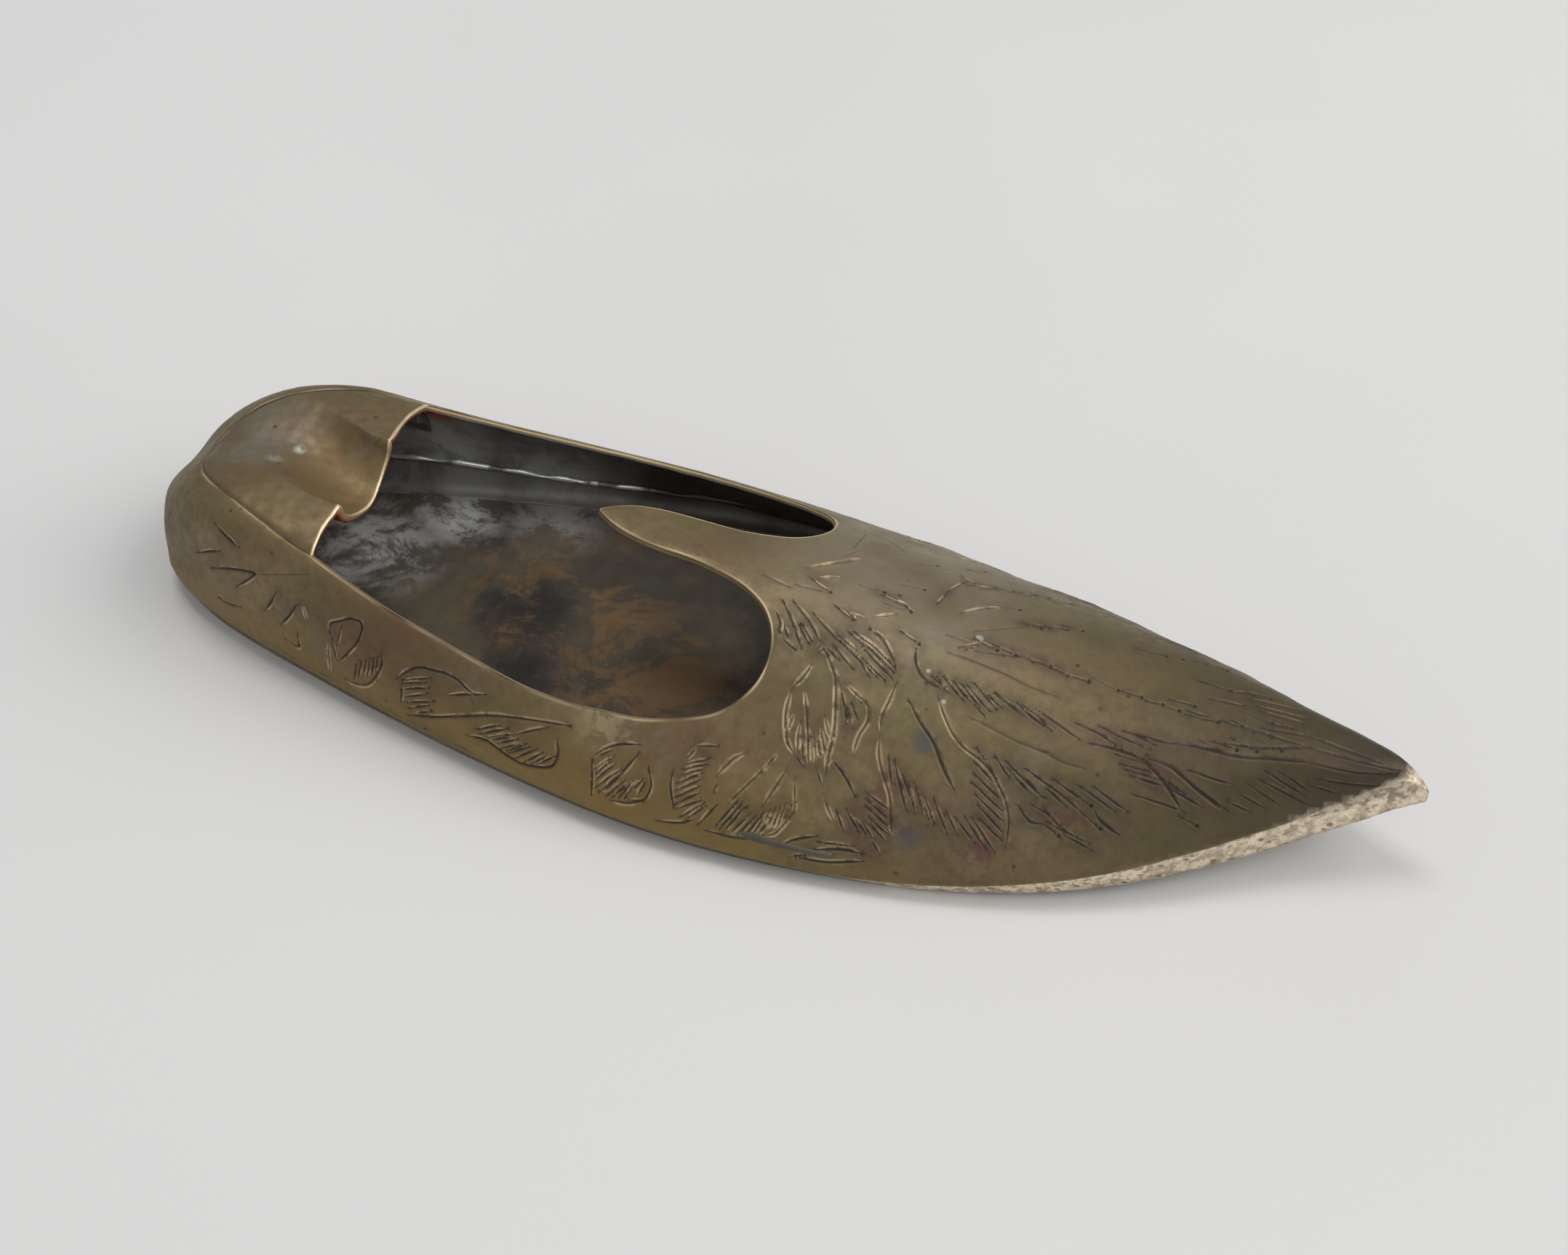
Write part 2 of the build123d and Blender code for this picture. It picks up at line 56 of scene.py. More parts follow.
# engraved strokes: width, kind (0 cut, 1 cut with a bright burr whose brightness is partly a painted highlight, 2
# faint, 3 punch dot), then (x, u) points, u across the section
STROKES = json.loads("""[[0.42,0,[79.6,1.738],[80.9,1.662],[81.3,1.588]],[0.42,0,[80.2,1.788],[81.6,1.712],[83.9,1.55]],[0.42,0,[82.2,1.662],[83.9,1.562]],[0.42,0,[82.6,1.688],[84.4,1.588]],[0.42,0,[82.9,1.688],[84.8,1.6]],[0.42,0,[81.3,1.8],[83.4,1.725],[85.5,1.612]],[0.42,0,[81.5,1.588],[83.3,1.538]],[0.42,0,[81.4,1.65],[82.1,1.6]],[0.4,0,[83.8,1.762],[87.0,1.65],[90.3,1.538],[91.5,1.462]],[0.4,0,[85.8,1.6],[88.1,1.525]],[0.4,0,[87.1,1.6],[89.7,1.488]],[0.4,0,[88.1,1.612],[90.8,1.525],[92.4,1.462]],[0.4,0,[89.5,1.588],[93.3,1.45]],[0.4,0,[90.0,1.625],[93.9,1.475]],[0.4,0,[88.6,1.712],[91.0,1.65],[94.0,1.538]],[0.4,0,[89.5,1.675],[93.9,1.512]],[0.4,0,[90.7,1.75],[92.1,1.688],[94.0,1.55]],[0.4,0,[87.2,1.825],[88.3,1.788]],[0.4,0,[85.8,1.55],[86.4,1.588]],[0.4,0,[90.2,1.75],[91.9,1.712]],[0.4,0,[88.1,1.7],[90.6,1.625]],[0.4,0,[86.9,1.675],[89.5,1.6]],[0.45,1,[89.9,1.838],[92.0,1.9]],[0.3,1,[87.4,1.825],[89.3,1.812]],[0.4,0,[91.3,2.025],[92.5,2.0],[93.6,1.962]],[0.35,0,[90.1,2.038],[89.2,2.05]],[0.55,1,[85.6,1.488],[85.1,1.4],[84.3,1.325]],[0.5,1,[84.3,1.325],[84.4,1.188],[84.8,1.1],[85.4,1.012],[86.5,0.925]],[0.55,1,[85.6,1.612],[87.0,1.525],[88.3,1.425],[89.2,1.262],[89.9,1.075],[90.0,0.912],[90.2,0.8]],[0.42,1,[85.5,1.338],[86.5,1.2],[87.3,1.062],[88.2,0.862]],[0.42,1,[86.2,1.15],[86.3,1.062],[86.8,0.938]],[0.42,1,[85.3,1.188],[85.1,1.075]],[0.42,1,[86.8,1.05],[87.5,0.9]],[0.42,1,[87.9,1.075],[88.8,0.888]],[0.42,1,[88.2,1.075],[89.3,0.9]],[0.42,1,[88.2,1.138],[89.3,0.988],[90.0,0.888]],[0.42,1,[88.4,1.188],[89.6,1.05]],[0.42,1,[84.9,1.125],[85.3,1.012]],[0.42,1,[87.7,1.05],[88.6,0.875]],[0.42,1,[89.0,1.125],[90.0,1.025]],[0.5,0,[90.0,0.912],[90.7,0.888],[92.4,0.775],[93.7,0.65]],[0.35,0,[89.1,0.838],[90.0,0.725]],[0.35,0,[86.5,0.925],[87.7,0.85]],[0.5,1,[89.4,1.4],[91.0,1.338],[92.5,1.275],[92.9,1.162],[92.5,1.088],[92.4,0.95]],[0.4,0,[89.1,1.375],[90.2,1.25],[91.5,1.125]],[0.4,0,[90.0,1.275],[90.9,1.15]],[0.4,0,[90.5,1.25],[91.4,1.138]],[0.4,0,[90.8,1.275],[91.8,1.188]],[0.4,0,[90.8,1.325],[92.1,1.275]],[0.5,1,[94.6,1.438],[94.4,1.3],[94.2,1.225],[94.5,1.112]],[0.5,1,[94.5,1.088],[95.1,0.938],[95.9,0.825],[97.2,0.662],[98.0,0.462],[98.5,0.35]],[0.42,0,[96.0,0.95],[97.1,0.75]],[0.42,0,[96.8,0.912],[98.9,0.6]],[0.42,0,[97.9,0.825],[99.6,0.625]],[0.42,0,[98.7,0.775],[100.1,0.55]],[0.42,0,[99.5,0.75],[101.1,0.525]],[0.42,0,[100.6,0.675],[102.3,0.475]],[0.42,0,[101.6,0.662],[103.9,0.388]],[0.42,0,[103.1,0.575],[104.9,0.388]],[0.42,0,[104.2,0.525],[106.8,0.325]],[0.42,0,[105.2,0.525],[107.9,0.288]],[0.42,0,[105.9,0.525],[109.0,0.25]],[0.42,0,[97.8,0.762],[99.2,0.562]],[0.42,0,[100.1,0.688],[101.7,0.5]],[0.5,1,[99.2,1.388],[100.2,1.288],[101.7,1.15],[103.3,1.05],[105.1,0.975],[107.0,0.85],[108.8,0.662],[109.7,0.488],[110.0,0.3]],[0.38,0,[104.6,1.05],[107.3,0.838]],[0.38,0,[104.9,0.862],[108.6,0.65]],[0.38,0,[105.1,0.788],[109.0,0.562]],[0.38,0,[105.5,0.712],[109.4,0.475]],[0.38,0,[106.1,0.625],[109.6,0.388]],[0.38,0,[106.7,0.512],[109.5,0.338]],[0.38,0,[104.7,0.95],[107.6,0.775]],[0.62,0,[96.6,1.325],[98.3,1.2],[100.1,1.075],[101.6,0.912],[103.4,0.738]],[0.45,0,[95.4,1.725],[95.6,1.638],[96.8,1.525],[98.3,1.475],[99.6,1.45]],[0.4,0,[98.1,1.525],[99.5,1.462]],[0.4,0,[99.2,1.538],[101.7,1.4]],[0.4,0,[100.2,1.525],[102.5,1.4]],[0.4,0,[101.2,1.512],[103.7,1.362]],[0.4,0,[102.4,1.538],[105.3,1.375]],[0.4,0,[103.4,1.5],[105.9,1.388]],[0.4,0,[104.9,1.488],[108.2,1.35]],[0.4,0,[101.8,1.512],[104.7,1.35]],[0.4,0,[103.1,1.375],[104.3,1.312]],[0.4,0,[107.3,1.45],[109.6,1.375],[111.4,1.262]],[0.4,0,[106.1,1.45],[107.9,1.375]],[0.4,0,[98.4,1.538],[100.0,1.438]],[0.5,2,[103.1,1.275],[105.2,1.225],[107.9,1.15],[110.6,1.088],[112.4,1.062]],[0.5,2,[98.7,1.725],[101.1,1.712],[104.4,1.675],[107.8,1.612],[110.7,1.575]],[0.42,0,[107.8,0.975],[110.2,0.825],[112.3,0.7]],[0.42,0,[109.9,0.925],[113.0,0.775]],[0.42,0,[106.8,0.988],[108.6,0.838]],[0.42,0,[111.6,0.625],[114.0,0.525]],[0.42,0,[111.3,0.862],[113.3,0.75]],[0.42,0,[108.2,0.912],[111.0,0.725]],[0.5,0,[110.4,0.612],[111.8,0.488],[113.0,0.475]],[0.45,0,[87.2,0.162],[88.5,0.238],[90.9,0.3]],[0.5,0,[90.7,0.175],[93.7,0.212],[95.7,0.2]],[0.45,0,[89.2,0.088],[92.2,0.088],[96.1,0.138]],[0.35,0,[88.6,0.088],[90.1,0.125]],[0.35,0,[91.0,0.25],[95.0,0.25]],[0.45,1,[90.6,0.625],[91.5,0.512],[92.2,0.438]],[0.38,0,[92.2,0.525],[93.5,0.362]],[0.38,0,[93.2,0.538],[94.9,0.375]],[0.38,0,[94.1,0.488],[95.7,0.362]],[0.38,0,[95.1,0.45],[96.6,0.325]],[0.38,0,[94.6,0.688],[97.6,0.55]],[0.38,0,[95.0,0.625],[97.9,0.475]],[0.38,0,[95.3,0.562],[98.1,0.412]],[0.38,0,[95.7,0.488],[98.1,0.362]],[0.38,0,[96.0,0.425],[98.0,0.312]],[0.38,0,[96.3,0.325],[97.6,0.212]],[0.5,1,[98.4,2.088],[100.3,2.212],[102.4,2.325]],[0.5,1,[82.8,2.0],[85.0,2.05]],[0.35,1,[99.7,1.788],[101.7,1.875]],[0.4,0,[101.3,1.85],[100.5,1.788]],[0.3,0,[95.7,2.1],[96.1,2.212]],[0.3,0,[96.2,2.262],[97.3,2.462]],[0.4,2,[77.2,1.9],[78.6,1.888],[80.2,1.875]],[0.3,2,[80.8,1.9],[83.7,1.912]],[0.3,2,[101.3,1.788],[105.8,1.838]],[0.3,2,[100.6,1.962],[106.9,2.238]],[0.28,3,[90.0,2.05]],[0.28,3,[92.6,2.0]],[0.28,3,[84.6,1.925]],[0.28,3,[93.8,2.2]],[0.28,3,[100.6,2.562]],[0.28,3,[105.0,2.688]],[0.28,3,[104.2,2.375]],[0.28,3,[107.0,2.238]],[0.28,3,[107.9,2.25]],[0.28,3,[101.3,1.85]],[0.28,3,[103.5,1.85]],[0.28,3,[105.5,1.85]],[0.28,3,[107.4,1.838]],[0.28,3,[109.4,1.838]],[0.28,3,[88.0,1.788]],[0.28,3,[93.5,1.962]],[0.28,3,[95.5,1.738]],[0.4,1,[84.9,0.95],[84.2,0.85],[83.7,0.775]],[0.55,1,[86.2,0.825],[85.5,0.688],[84.7,0.525]],[0.4,1,[87.2,0.762],[87.7,0.6],[88.0,0.488],[87.4,0.388],[86.4,0.262],[85.4,0.238]],[0.4,1,[87.7,0.6],[87.4,0.438]],[0.4,1,[87.4,0.575],[87.0,0.362]],[0.4,1,[86.9,0.55],[86.6,0.3]],[0.4,1,[86.5,0.525],[86.1,0.288]],[0.4,1,[86.0,0.512],[85.6,0.288]],[0.4,1,[85.5,0.488],[85.1,0.35]],[0.42,0,[107.4,1.438],[109.2,1.35],[111.4,1.262]],[0.42,0,[109.2,1.425],[111.7,1.338],[114.4,1.212]],[0.42,0,[109.2,0.912],[110.8,0.8],[112.2,0.7]],[0.42,0,[111.0,0.862],[114.2,0.712],[116.5,0.562]],[0.42,0,[113.1,0.838],[115.0,0.738],[116.4,0.662]],[0.42,0,[111.6,0.825],[114.9,0.612]],[0.42,0,[110.1,0.625],[111.8,0.488],[113.0,0.475]],[0.42,0,[112.6,0.612],[115.5,0.4],[118.0,0.288]],[0.42,0,[115.5,0.8],[117.8,0.675],[119.8,0.55]],[0.42,0,[117.0,0.788],[120.9,0.55]],[0.42,0,[113.6,1.362],[116.0,1.3],[118.2,1.188]],[0.42,0,[116.1,1.362],[118.3,1.288],[120.4,1.212]],[0.42,0,[118.3,1.35],[120.2,1.312],[121.8,1.225]],[0.42,0,[120.1,1.325],[123.5,1.25]],[0.42,0,[121.2,0.7],[124.3,0.588],[126.4,0.488]],[0.42,0,[123.8,0.788],[128.1,0.512]],[0.42,0,[125.8,0.95],[128.3,0.85],[130.4,0.762]],[0.42,0,[127.8,0.688],[130.8,0.412]],[0.42,0,[130.1,0.562],[133.0,0.338]],[0.42,0,[135.0,0.912],[136.4,0.762],[138.1,0.525]],[0.42,0,[122.6,0.912],[126.2,0.675]],[0.42,0,[131.1,0.65],[134.1,0.375]],[0.42,0,[133.1,0.8],[135.8,0.562],[138.6,0.212]],[0.42,0,[132.1,0.738],[135.7,0.362]],[0.42,0,[133.3,0.95],[137.8,0.462]],[0.42,0,[113.4,0.488],[116.7,0.338]],[0.42,0,[115.1,0.388],[118.4,0.225]],[0.42,0,[119.2,1.0],[122.6,0.912]],[0.42,0,[119.6,0.95],[123.5,0.838]],[0.42,0,[120.2,0.888],[123.8,0.775]],[0.42,0,[118.3,1.1],[121.9,1.0]],[0.62,0,[117.5,0.6],[118.5,0.488],[120.9,0.325]],[0.5,0,[115.6,1.188],[119.2,1.125],[121.3,1.038],[123.8,0.812],[126.3,0.5]],[0.6,0,[121.7,1.062],[123.8,1.0],[126.6,0.775],[130.4,0.425]],[0.5,2,[108.5,1.125],[111.1,1.075],[113.3,1.0],[115.6,0.95]],[0.5,0,[124.9,1.275],[127.7,1.212],[130.1,1.162],[134.0,1.175],[137.3,1.162]],[0.42,0,[128.4,1.338],[132.3,1.35],[137.0,1.538]],[0.38,0,[127.4,1.35],[130.0,1.262]],[0.36,0,[128.8,1.762],[130.9,1.662]],[0.36,0,[129.3,1.738],[133.2,1.638],[137.0,1.538]],[0.36,0,[127.8,2.3],[131.0,2.5]],[0.36,0,[129.9,2.3],[136.0,2.588]],[0.36,0,[130.8,2.188],[136.4,2.362]],[0.36,0,[131.4,2.112],[136.2,2.188]],[0.36,0,[132.4,1.9],[134.9,1.95]],[0.36,0,[126.1,2.038],[129.6,2.112]],[0.36,0,[131.8,1.762],[136.7,1.85]],[0.36,0,[124.2,1.75],[126.3,1.725]],[0.36,0,[123.7,1.262],[128.4,1.225]],[0.28,3,[107.4,1.838]],[0.28,3,[109.3,1.838]],[0.28,3,[111.3,1.8]],[0.28,3,[113.6,1.8]],[0.28,3,[116.8,1.8]],[0.28,3,[119.3,1.788]],[0.28,3,[121.6,1.762]],[0.28,3,[123.4,1.725]],[0.28,3,[124.8,1.85]],[0.28,3,[127.5,1.675]],[0.28,3,[128.1,1.225]],[0.28,3,[130.0,1.25]],[0.28,3,[132.0,1.275]],[0.28,3,[134.4,1.35]],[0.28,3,[133.1,1.612]],[0.28,3,[134.9,1.95]],[0.28,3,[132.8,1.925]],[0.28,3,[131.2,1.65]],[0.28,3,[107.1,2.212]],[0.28,3,[107.9,2.25]],[0.28,3,[109.7,2.312]],[0.28,3,[111.3,2.388]],[0.28,3,[124.7,2.7]],[0.28,3,[127.1,2.775]],[0.28,3,[120.5,2.525]],[0.28,3,[122.3,2.6]],[0.28,3,[125.9,0.675]],[0.28,3,[128.1,0.3]],[0.28,3,[124.2,0.788]],[0.28,3,[118.8,0.4]],[0.28,3,[114.9,0.362]],[0.28,3,[118.1,1.175]],[0.28,3,[119.8,1.112]],[0.28,3,[127.9,2.312]],[0.28,3,[130.3,2.425]],[0.28,3,[132.1,2.525]],[0.28,3,[117.3,0.612]],[0.36,0,[137.3,1.162],[141.8,0.95],[146.2,0.562]],[0.36,0,[137.0,1.538],[142.2,1.362],[146.4,0.875]],[0.36,0,[138.5,0.788],[142.2,0.512],[144.9,0.125]],[0.36,0,[136.7,1.875],[141.3,1.688],[145.2,1.275]],[0.36,0,[138.0,0.65],[141.0,0.338]],[0.5,0,[15.9,0.912],[17.5,0.838],[19.4,0.775]],[0.5,0,[12.9,0.512],[14.9,0.588],[16.7,0.65]],[0.5,0,[15.4,0.45],[18.6,0.538],[21.8,0.588],[19.0,0.4]],[0.5,0,[15.2,0.162],[16.8,0.162],[18.8,0.2]],[0.5,0,[24.8,0.55],[23.8,0.412],[22.9,0.312]],[0.5,0,[27.5,0.55],[26.4,0.4],[25.1,0.275]],[0.5,0,[27.4,0.288],[27.2,0.138],[25.4,0.15]],[0.4,1,[28.4,0.625],[28.7,0.538],[29.0,0.462]],[0.3,2,[21.8,0.588],[28.8,0.912]],[0.45,0,[32.2,0.488],[32.2,0.6],[33.2,0.675],[34.7,0.775],[36.1,0.8],[36.4,0.738],[35.7,0.562],[33.4,0.275]],[0.4,1,[32.0,0.425],[31.7,0.212],[31.6,0.05]],[0.35,0,[32.5,0.475],[32.9,0.275]],[0.3,0,[33.8,0.662],[33.2,0.438]],[0.5,0,[39.1,0.662],[39.3,0.575],[38.5,0.362],[37.0,0.175],[34.8,0.1],[33.9,0.1]],[0.36,0,[37.2,0.488],[36.7,0.275]],[0.36,0,[37.7,0.525],[37.3,0.3]],[0.36,0,[38.2,0.562],[38.0,0.362]],[0.36,0,[38.7,0.6],[38.5,0.425]],[0.36,0,[36.5,0.425],[36.0,0.238]],[0.36,0,[35.8,0.362],[35.3,0.162]],[0.45,0,[41.3,0.488],[42.4,0.625],[44.0,0.75],[45.6,0.8],[47.2,0.838],[48.9,0.838],[50.9,0.8],[52.3,0.85]],[0.42,0,[42.0,0.475],[41.8,0.225]],[0.38,0,[42.0,0.512],[45.6,0.725]],[0.38,0,[41.8,0.462],[45.1,0.65]],[0.38,0,[41.8,0.388],[45.5,0.612]],[0.38,0,[42.0,0.3],[45.2,0.525]],[0.38,0,[42.4,0.25],[46.1,0.488]],[0.38,0,[42.8,0.188],[45.7,0.412]],[0.38,0,[42.9,0.1],[45.8,0.338]],[0.5,0,[47.8,0.65],[50.9,0.8]],[0.5,0,[42.7,0.088],[45.0,0.2],[48.3,0.412],[52.2,0.65],[55.4,0.775]],[0.4,0,[50.8,0.738],[51.1,0.725]],[0.4,0,[48.6,0.425],[52.2,0.638],[55.8,0.775],[59.4,0.85],[62.2,0.888]],[0.5,0,[50.5,0.275],[53.3,0.362],[55.5,0.3],[57.6,0.275],[59.4,0.325],[61.4,0.45],[61.8,0.625],[61.3,0.762]],[0.42,0,[54.3,0.388],[57.0,0.6]],[0.42,0,[54.9,0.35],[57.7,0.588]],[0.42,0,[55.8,0.325],[58.5,0.575]],[0.42,0,[56.7,0.3],[59.2,0.575]],[0.42,0,[57.9,0.312],[60.1,0.575]],[0.42,0,[59.4,0.35],[61.5,0.588]],[0.42,0,[51.8,0.45],[54.6,0.65]],[0.42,0,[52.1,0.4],[55.5,0.65]],[0.42,0,[52.7,0.375],[56.5,0.638]],[0.42,0,[56.3,0.612],[58.3,0.738],[60.2,0.825]],[0.42,0,[55.5,0.338],[58.0,0.588]],[0.42,0,[53.3,0.388],[56.4,0.588]],[0.42,0,[58.6,0.312],[60.7,0.562]],[0.45,0,[65.8,0.712],[66.4,0.775],[67.8,0.85],[70.3,0.888]],[0.45,0,[65.7,0.688],[66.0,0.5],[66.3,0.225]],[0.42,0,[71.9,0.712],[72.6,0.562],[72.2,0.388],[70.2,0.275],[68.5,0.25]],[0.5,0,[70.5,0.825],[69.5,0.675],[67.8,0.4],[67.2,0.338]],[0.42,0,[66.0,0.575],[67.9,0.75]],[0.42,0,[66.3,0.45],[68.3,0.7]],[0.42,0,[66.6,0.375],[69.0,0.662]],[0.42,0,[67.3,0.35],[69.2,0.625]],[0.42,0,[67.9,0.288],[69.7,0.562]],[0.42,0,[68.6,0.3],[70.2,0.55]],[0.42,0,[69.3,0.312],[70.6,0.575]],[0.42,0,[70.0,0.338],[71.1,0.6]],[0.42,0,[70.6,0.45],[71.5,0.6]],[0.42,0,[71.3,0.4],[71.9,0.588]],[0.42,0,[65.9,0.688],[67.6,0.812]],[0.42,0,[70.5,0.338],[72.4,0.362]],[0.42,0,[66.3,0.525],[67.7,0.712]],[0.4,0,[74.5,0.725],[74.6,0.6],[75.4,0.375]],[0.45,0,[76.2,0.938],[78.5,0.95]],[0.4,1,[76.4,0.925],[75.6,0.838]],[0.42,0,[75.7,0.8],[77.7,0.85]],[0.42,0,[75.3,0.75],[77.9,0.812]],[0.42,0,[75.4,0.7],[77.8,0.788]],[0.42,0,[75.1,0.625],[77.8,0.75]],[0.42,0,[75.1,0.55],[77.8,0.7]],[0.42,0,[75.4,0.488],[77.8,0.638]],[0.42,0,[75.5,0.412],[77.9,0.575]],[0.42,0,[75.6,0.35],[78.2,0.5]],[0.42,0,[76.2,0.262],[78.6,0.475]],[0.42,0,[77.0,0.262],[78.8,0.45]],[0.42,0,[78.3,0.212],[79.9,0.475]],[0.42,0,[73.9,0.15],[77.1,0.225],[77.8,0.288]],[0.6,1,[81.7,0.925],[80.5,0.875],[79.2,0.738]],[0.35,1,[84.3,0.875],[83.1,0.738],[81.9,0.612],[80.9,0.488]],[0.3,0,[79.4,0.65],[79.3,0.6]],[0.45,0,[79.3,0.175],[82.2,0.162],[84.5,0.188]],[0.4,0,[82.0,0.538],[80.3,0.262]],[0.4,0,[82.4,0.5],[80.7,0.225]],[0.4,0,[82.8,0.475],[81.2,0.2]],[0.4,0,[83.6,0.438],[81.9,0.188]],[0.4,0,[84.2,0.412],[82.7,0.188]],[0.4,0,[84.9,0.45],[83.5,0.188]],[0.4,0,[85.3,0.462],[84.2,0.212]],[0.4,0,[85.9,0.4],[84.8,0.238]],[0.6,1,[81.1,2.038],[82.9,2.112],[84.6,2.2],[86.1,2.275]],[0.5,1,[82.8,2.0],[85.0,2.05]],[0.3,2,[84.2,2.238],[85.3,2.362]],[0.35,2,[84.5,2.625],[84.5,2.362]],[0.3,2,[85.6,2.688],[87.7,2.65],[89.2,2.588]],[0.35,0,[96.8,2.538],[98.3,2.512]],[0.3,2,[91.2,2.462],[95.2,2.562]],[0.28,3,[93.7,2.55]],[0.28,3,[98.6,2.812]],[0.28,3,[100.6,2.562]],[0.28,3,[102.6,2.625]],[0.28,3,[105.1,2.7]],[0.28,3,[106.5,2.762]],[0.28,3,[104.1,2.362]],[0.28,3,[109.0,2.812]]]""")
rng = np.random.default_rng(7)


# ------------------------------------------------------------------ curves
def ncs(X, V, x):
    X = np.asarray(X, float); V = np.asarray(V, float); n = len(X); h = np.diff(X)
    A = np.eye(n); b = np.zeros(V.shape)
    for i in range(1, n - 1):
        A[i, i - 1] = h[i - 1]; A[i, i] = 2 * (h[i - 1] + h[i]); A[i, i + 1] = h[i]
        b[i] = 6 * ((V[i + 1] - V[i]) / h[i] - (V[i] - V[i - 1]) / h[i - 1])
    M = np.linalg.solve(A, b)
    x = np.asarray(x, float); k = np.clip(np.searchsorted(X, x) - 1, 0, n - 2)
    t = x - X[k]; H = h[k]
    if V.ndim == 2:
        t = t[:, None]; H = H[:, None]
    c = (V[k + 1] - V[k]) / H - H * (2 * M[k] + M[k + 1]) / 6
    return V[k] + c * t + M[k] / 2 * t * t + (M[k + 1] - M[k]) / (6 * H) * t ** 3


def pch(X, V, x):
    X = np.asarray(X, float); V = np.asarray(V, float); h = np.diff(X); d = np.diff(V) / h
    m = np.zeros(len(X)); m[0] = d[0]; m[-1] = d[-1]
    for i in range(1, len(X) - 1):
        if d[i - 1] * d[i] > 0:
            w1 = 2 * h[i] + h[i - 1]; w2 = h[i] + 2 * h[i - 1]
            m[i] = (w1 + w2) / (w1 / d[i - 1] + w2 / d[i])
    x = np.clip(np.asarray(x, float), X[0], X[-1]); k = np.clip(np.searchsorted(X, x) - 1, 0, len(X) - 2)
    t = (x - X[k]) / h[k]
    return ((1 + 2 * t) * (1 - t) ** 2 * V[k] + t * (1 - t) ** 2 * h[k] * m[k]
            + t * t * (3 - 2 * t) * V[k + 1] + t * t * (t - 1) * h[k] * m[k + 1])


def knots(x):
    x = np.atleast_1d(np.asarray(x, float))
    t = np.clip((HEEL_X1 - x) / HEEL_RUN, 0, 1); xc = np.clip(x, HEEL_X1, LENGTH)
    back = np.clip(HEEL_X1 - x, 0, None)
    kw = (1 - t ** 3.2) ** (1 / 3.2); kh = (1 - t ** 2.55) ** (1 / 2.55); kr = (1 - t ** 2.28) ** (1 / 2.28)
    w = (ncs(XW, W, xc) - back * 0.273) * kw
    r = np.minimum((ncs(XR, R, xc) - back * 0.103) * kr, w * 0.96)
    zs = np.where(x > 75, pch(XS, S, x), 0)
    k = np.clip((x - 95) / 55, 0, 1)
    zb = 3.89 - 2.86 * x / 150; zb = zs + zb * (1 - k) + STRIP * k
    zb = zb - 4.1 * np.clip((x - 146.3) / 3.7, 0, 1) ** 1.8      # the ground tip
    zr = ncs(XR, ZR, xc); zc = ncs(XC, ZC, xc)
    heel = x < HEEL_X1
    zr = np.where(heel, HB + (zr - HB) * kh, zr); zc = np.where(heel, HB + (zc - HB) * kh, zc)
    zb = np.where(heel, np.minimum(zb, HB * 0.9), zb)
    ws = np.maximum(w - 1.3 * np.clip(w / 6, 0, 1), w * 0.6); ws = w - (w - ws) * (1 - k) + 0.4 * np.clip((x - 140) / 8, 0, 1)
    return ws, w, zs, zb, r, zr, zc


def sole_top(x):
    ws, w, zs, zb, r, zr, zc = knots(x)
    k = np.clip((np.asarray(x) - 95) / 32, 0, 1); k = k * k * (3 - 2 * k)
    return zs + SOLE_T * (1 - k) + (zb - zs) * k


def s_of_x(x):
    x = np.asarray(x, float)
    return np.where(x < HEEL_X1, HEEL_RUN * np.arccos(np.clip((HEEL_X1 - x) / HEEL_RUN, -1, 1)),
                    HEEL_RUN * math.pi / 2 + x - HEEL_X1)


def x_of_s(s):
    s = np.asarray(s, float); q = HEEL_RUN * math.pi / 2
    return np.where(s < q, HEEL_X1 - HEEL_RUN * np.cos(np.clip(s, 0, q) / HEEL_RUN), s - q + HEEL_X1)


S0, S1 = float(s_of_x(2.09)), float(s_of_x(150.0))

# table of the outer surface over (s, tau), tau from -1 on the near widest line over the crown to 1 on the far one
NS, NT = 420, 121
ts = np.linspace(S0, S1, NS); tx = x_of_s(ts)
KN = knots(tx)
_u = np.linspace(0, 4, 401)
TAB = np.zeros((NS, NT, 3)); TLEN = np.zeros(NS); UT = np.zeros((NS, NT))
for i in range(NS):
    w_, zb_, r_, zr_, zc_ = KN[1][i], KN[3][i], KN[4][i], KN[5][i], KN[6][i]
    y = ncs([0, 1, 2, 3, 4], [-w_, -r_, 0, r_, w_], _u); z = ncs([0, 1, 2, 3, 4], [zb_, zr_, zc_, zr_, zb_], _u)
    l = np.concatenate([[0], np.cumsum(np.hypot(np.diff(y), np.diff(z)))])
    c = l[200]
    tt = np.linspace(-1, 1, NT) * max(c, l[-1] - c) + c
    TAB[i, :, 0] = tx[i]; TAB[i, :, 1] = np.interp(tt, l, y); TAB[i, :, 2] = np.interp(tt, l, z)
    UT[i] = np.interp(tt, l, _u); TLEN[i] = c
NRM = np.cross(np.gradient(TAB, axis=1), np.gradient(TAB, axis=0))
NRM[:, :, 0] *= 1
NRM /= np.linalg.norm(NRM, axis=-1, keepdims=True) + 1e-12
if NRM[200, 60, 2] < 0:
    NRM = -NRM


def lerp_tab(T, s, tau):
    fi = np.clip((np.asarray(s) - S0) / (S1 - S0) * (NS - 1), 0, NS - 1.0001)
    fj = np.clip((np.asarray(tau) + 1) / 2 * (NT - 1), 0, NT - 1.0001)
    i = fi.astype(int); j = fj.astype(int); a = (fi - i)[..., None]; b = (fj - j)[..., None]
    return T[i, j] * (1 - a) * (1 - b) + T[i + 1, j] * a * (1 - b) + T[i, j + 1] * (1 - a) * b + T[i + 1, j + 1] * a * b


def tlen(s):
    return np.interp(s, ts, TLEN)


def surf(s, t):
    tau = np.asarray(t) / np.maximum(tlen(s), 1e-6)
    return lerp_tab(TAB, s, tau), lerp_tab(NRM, s, tau)


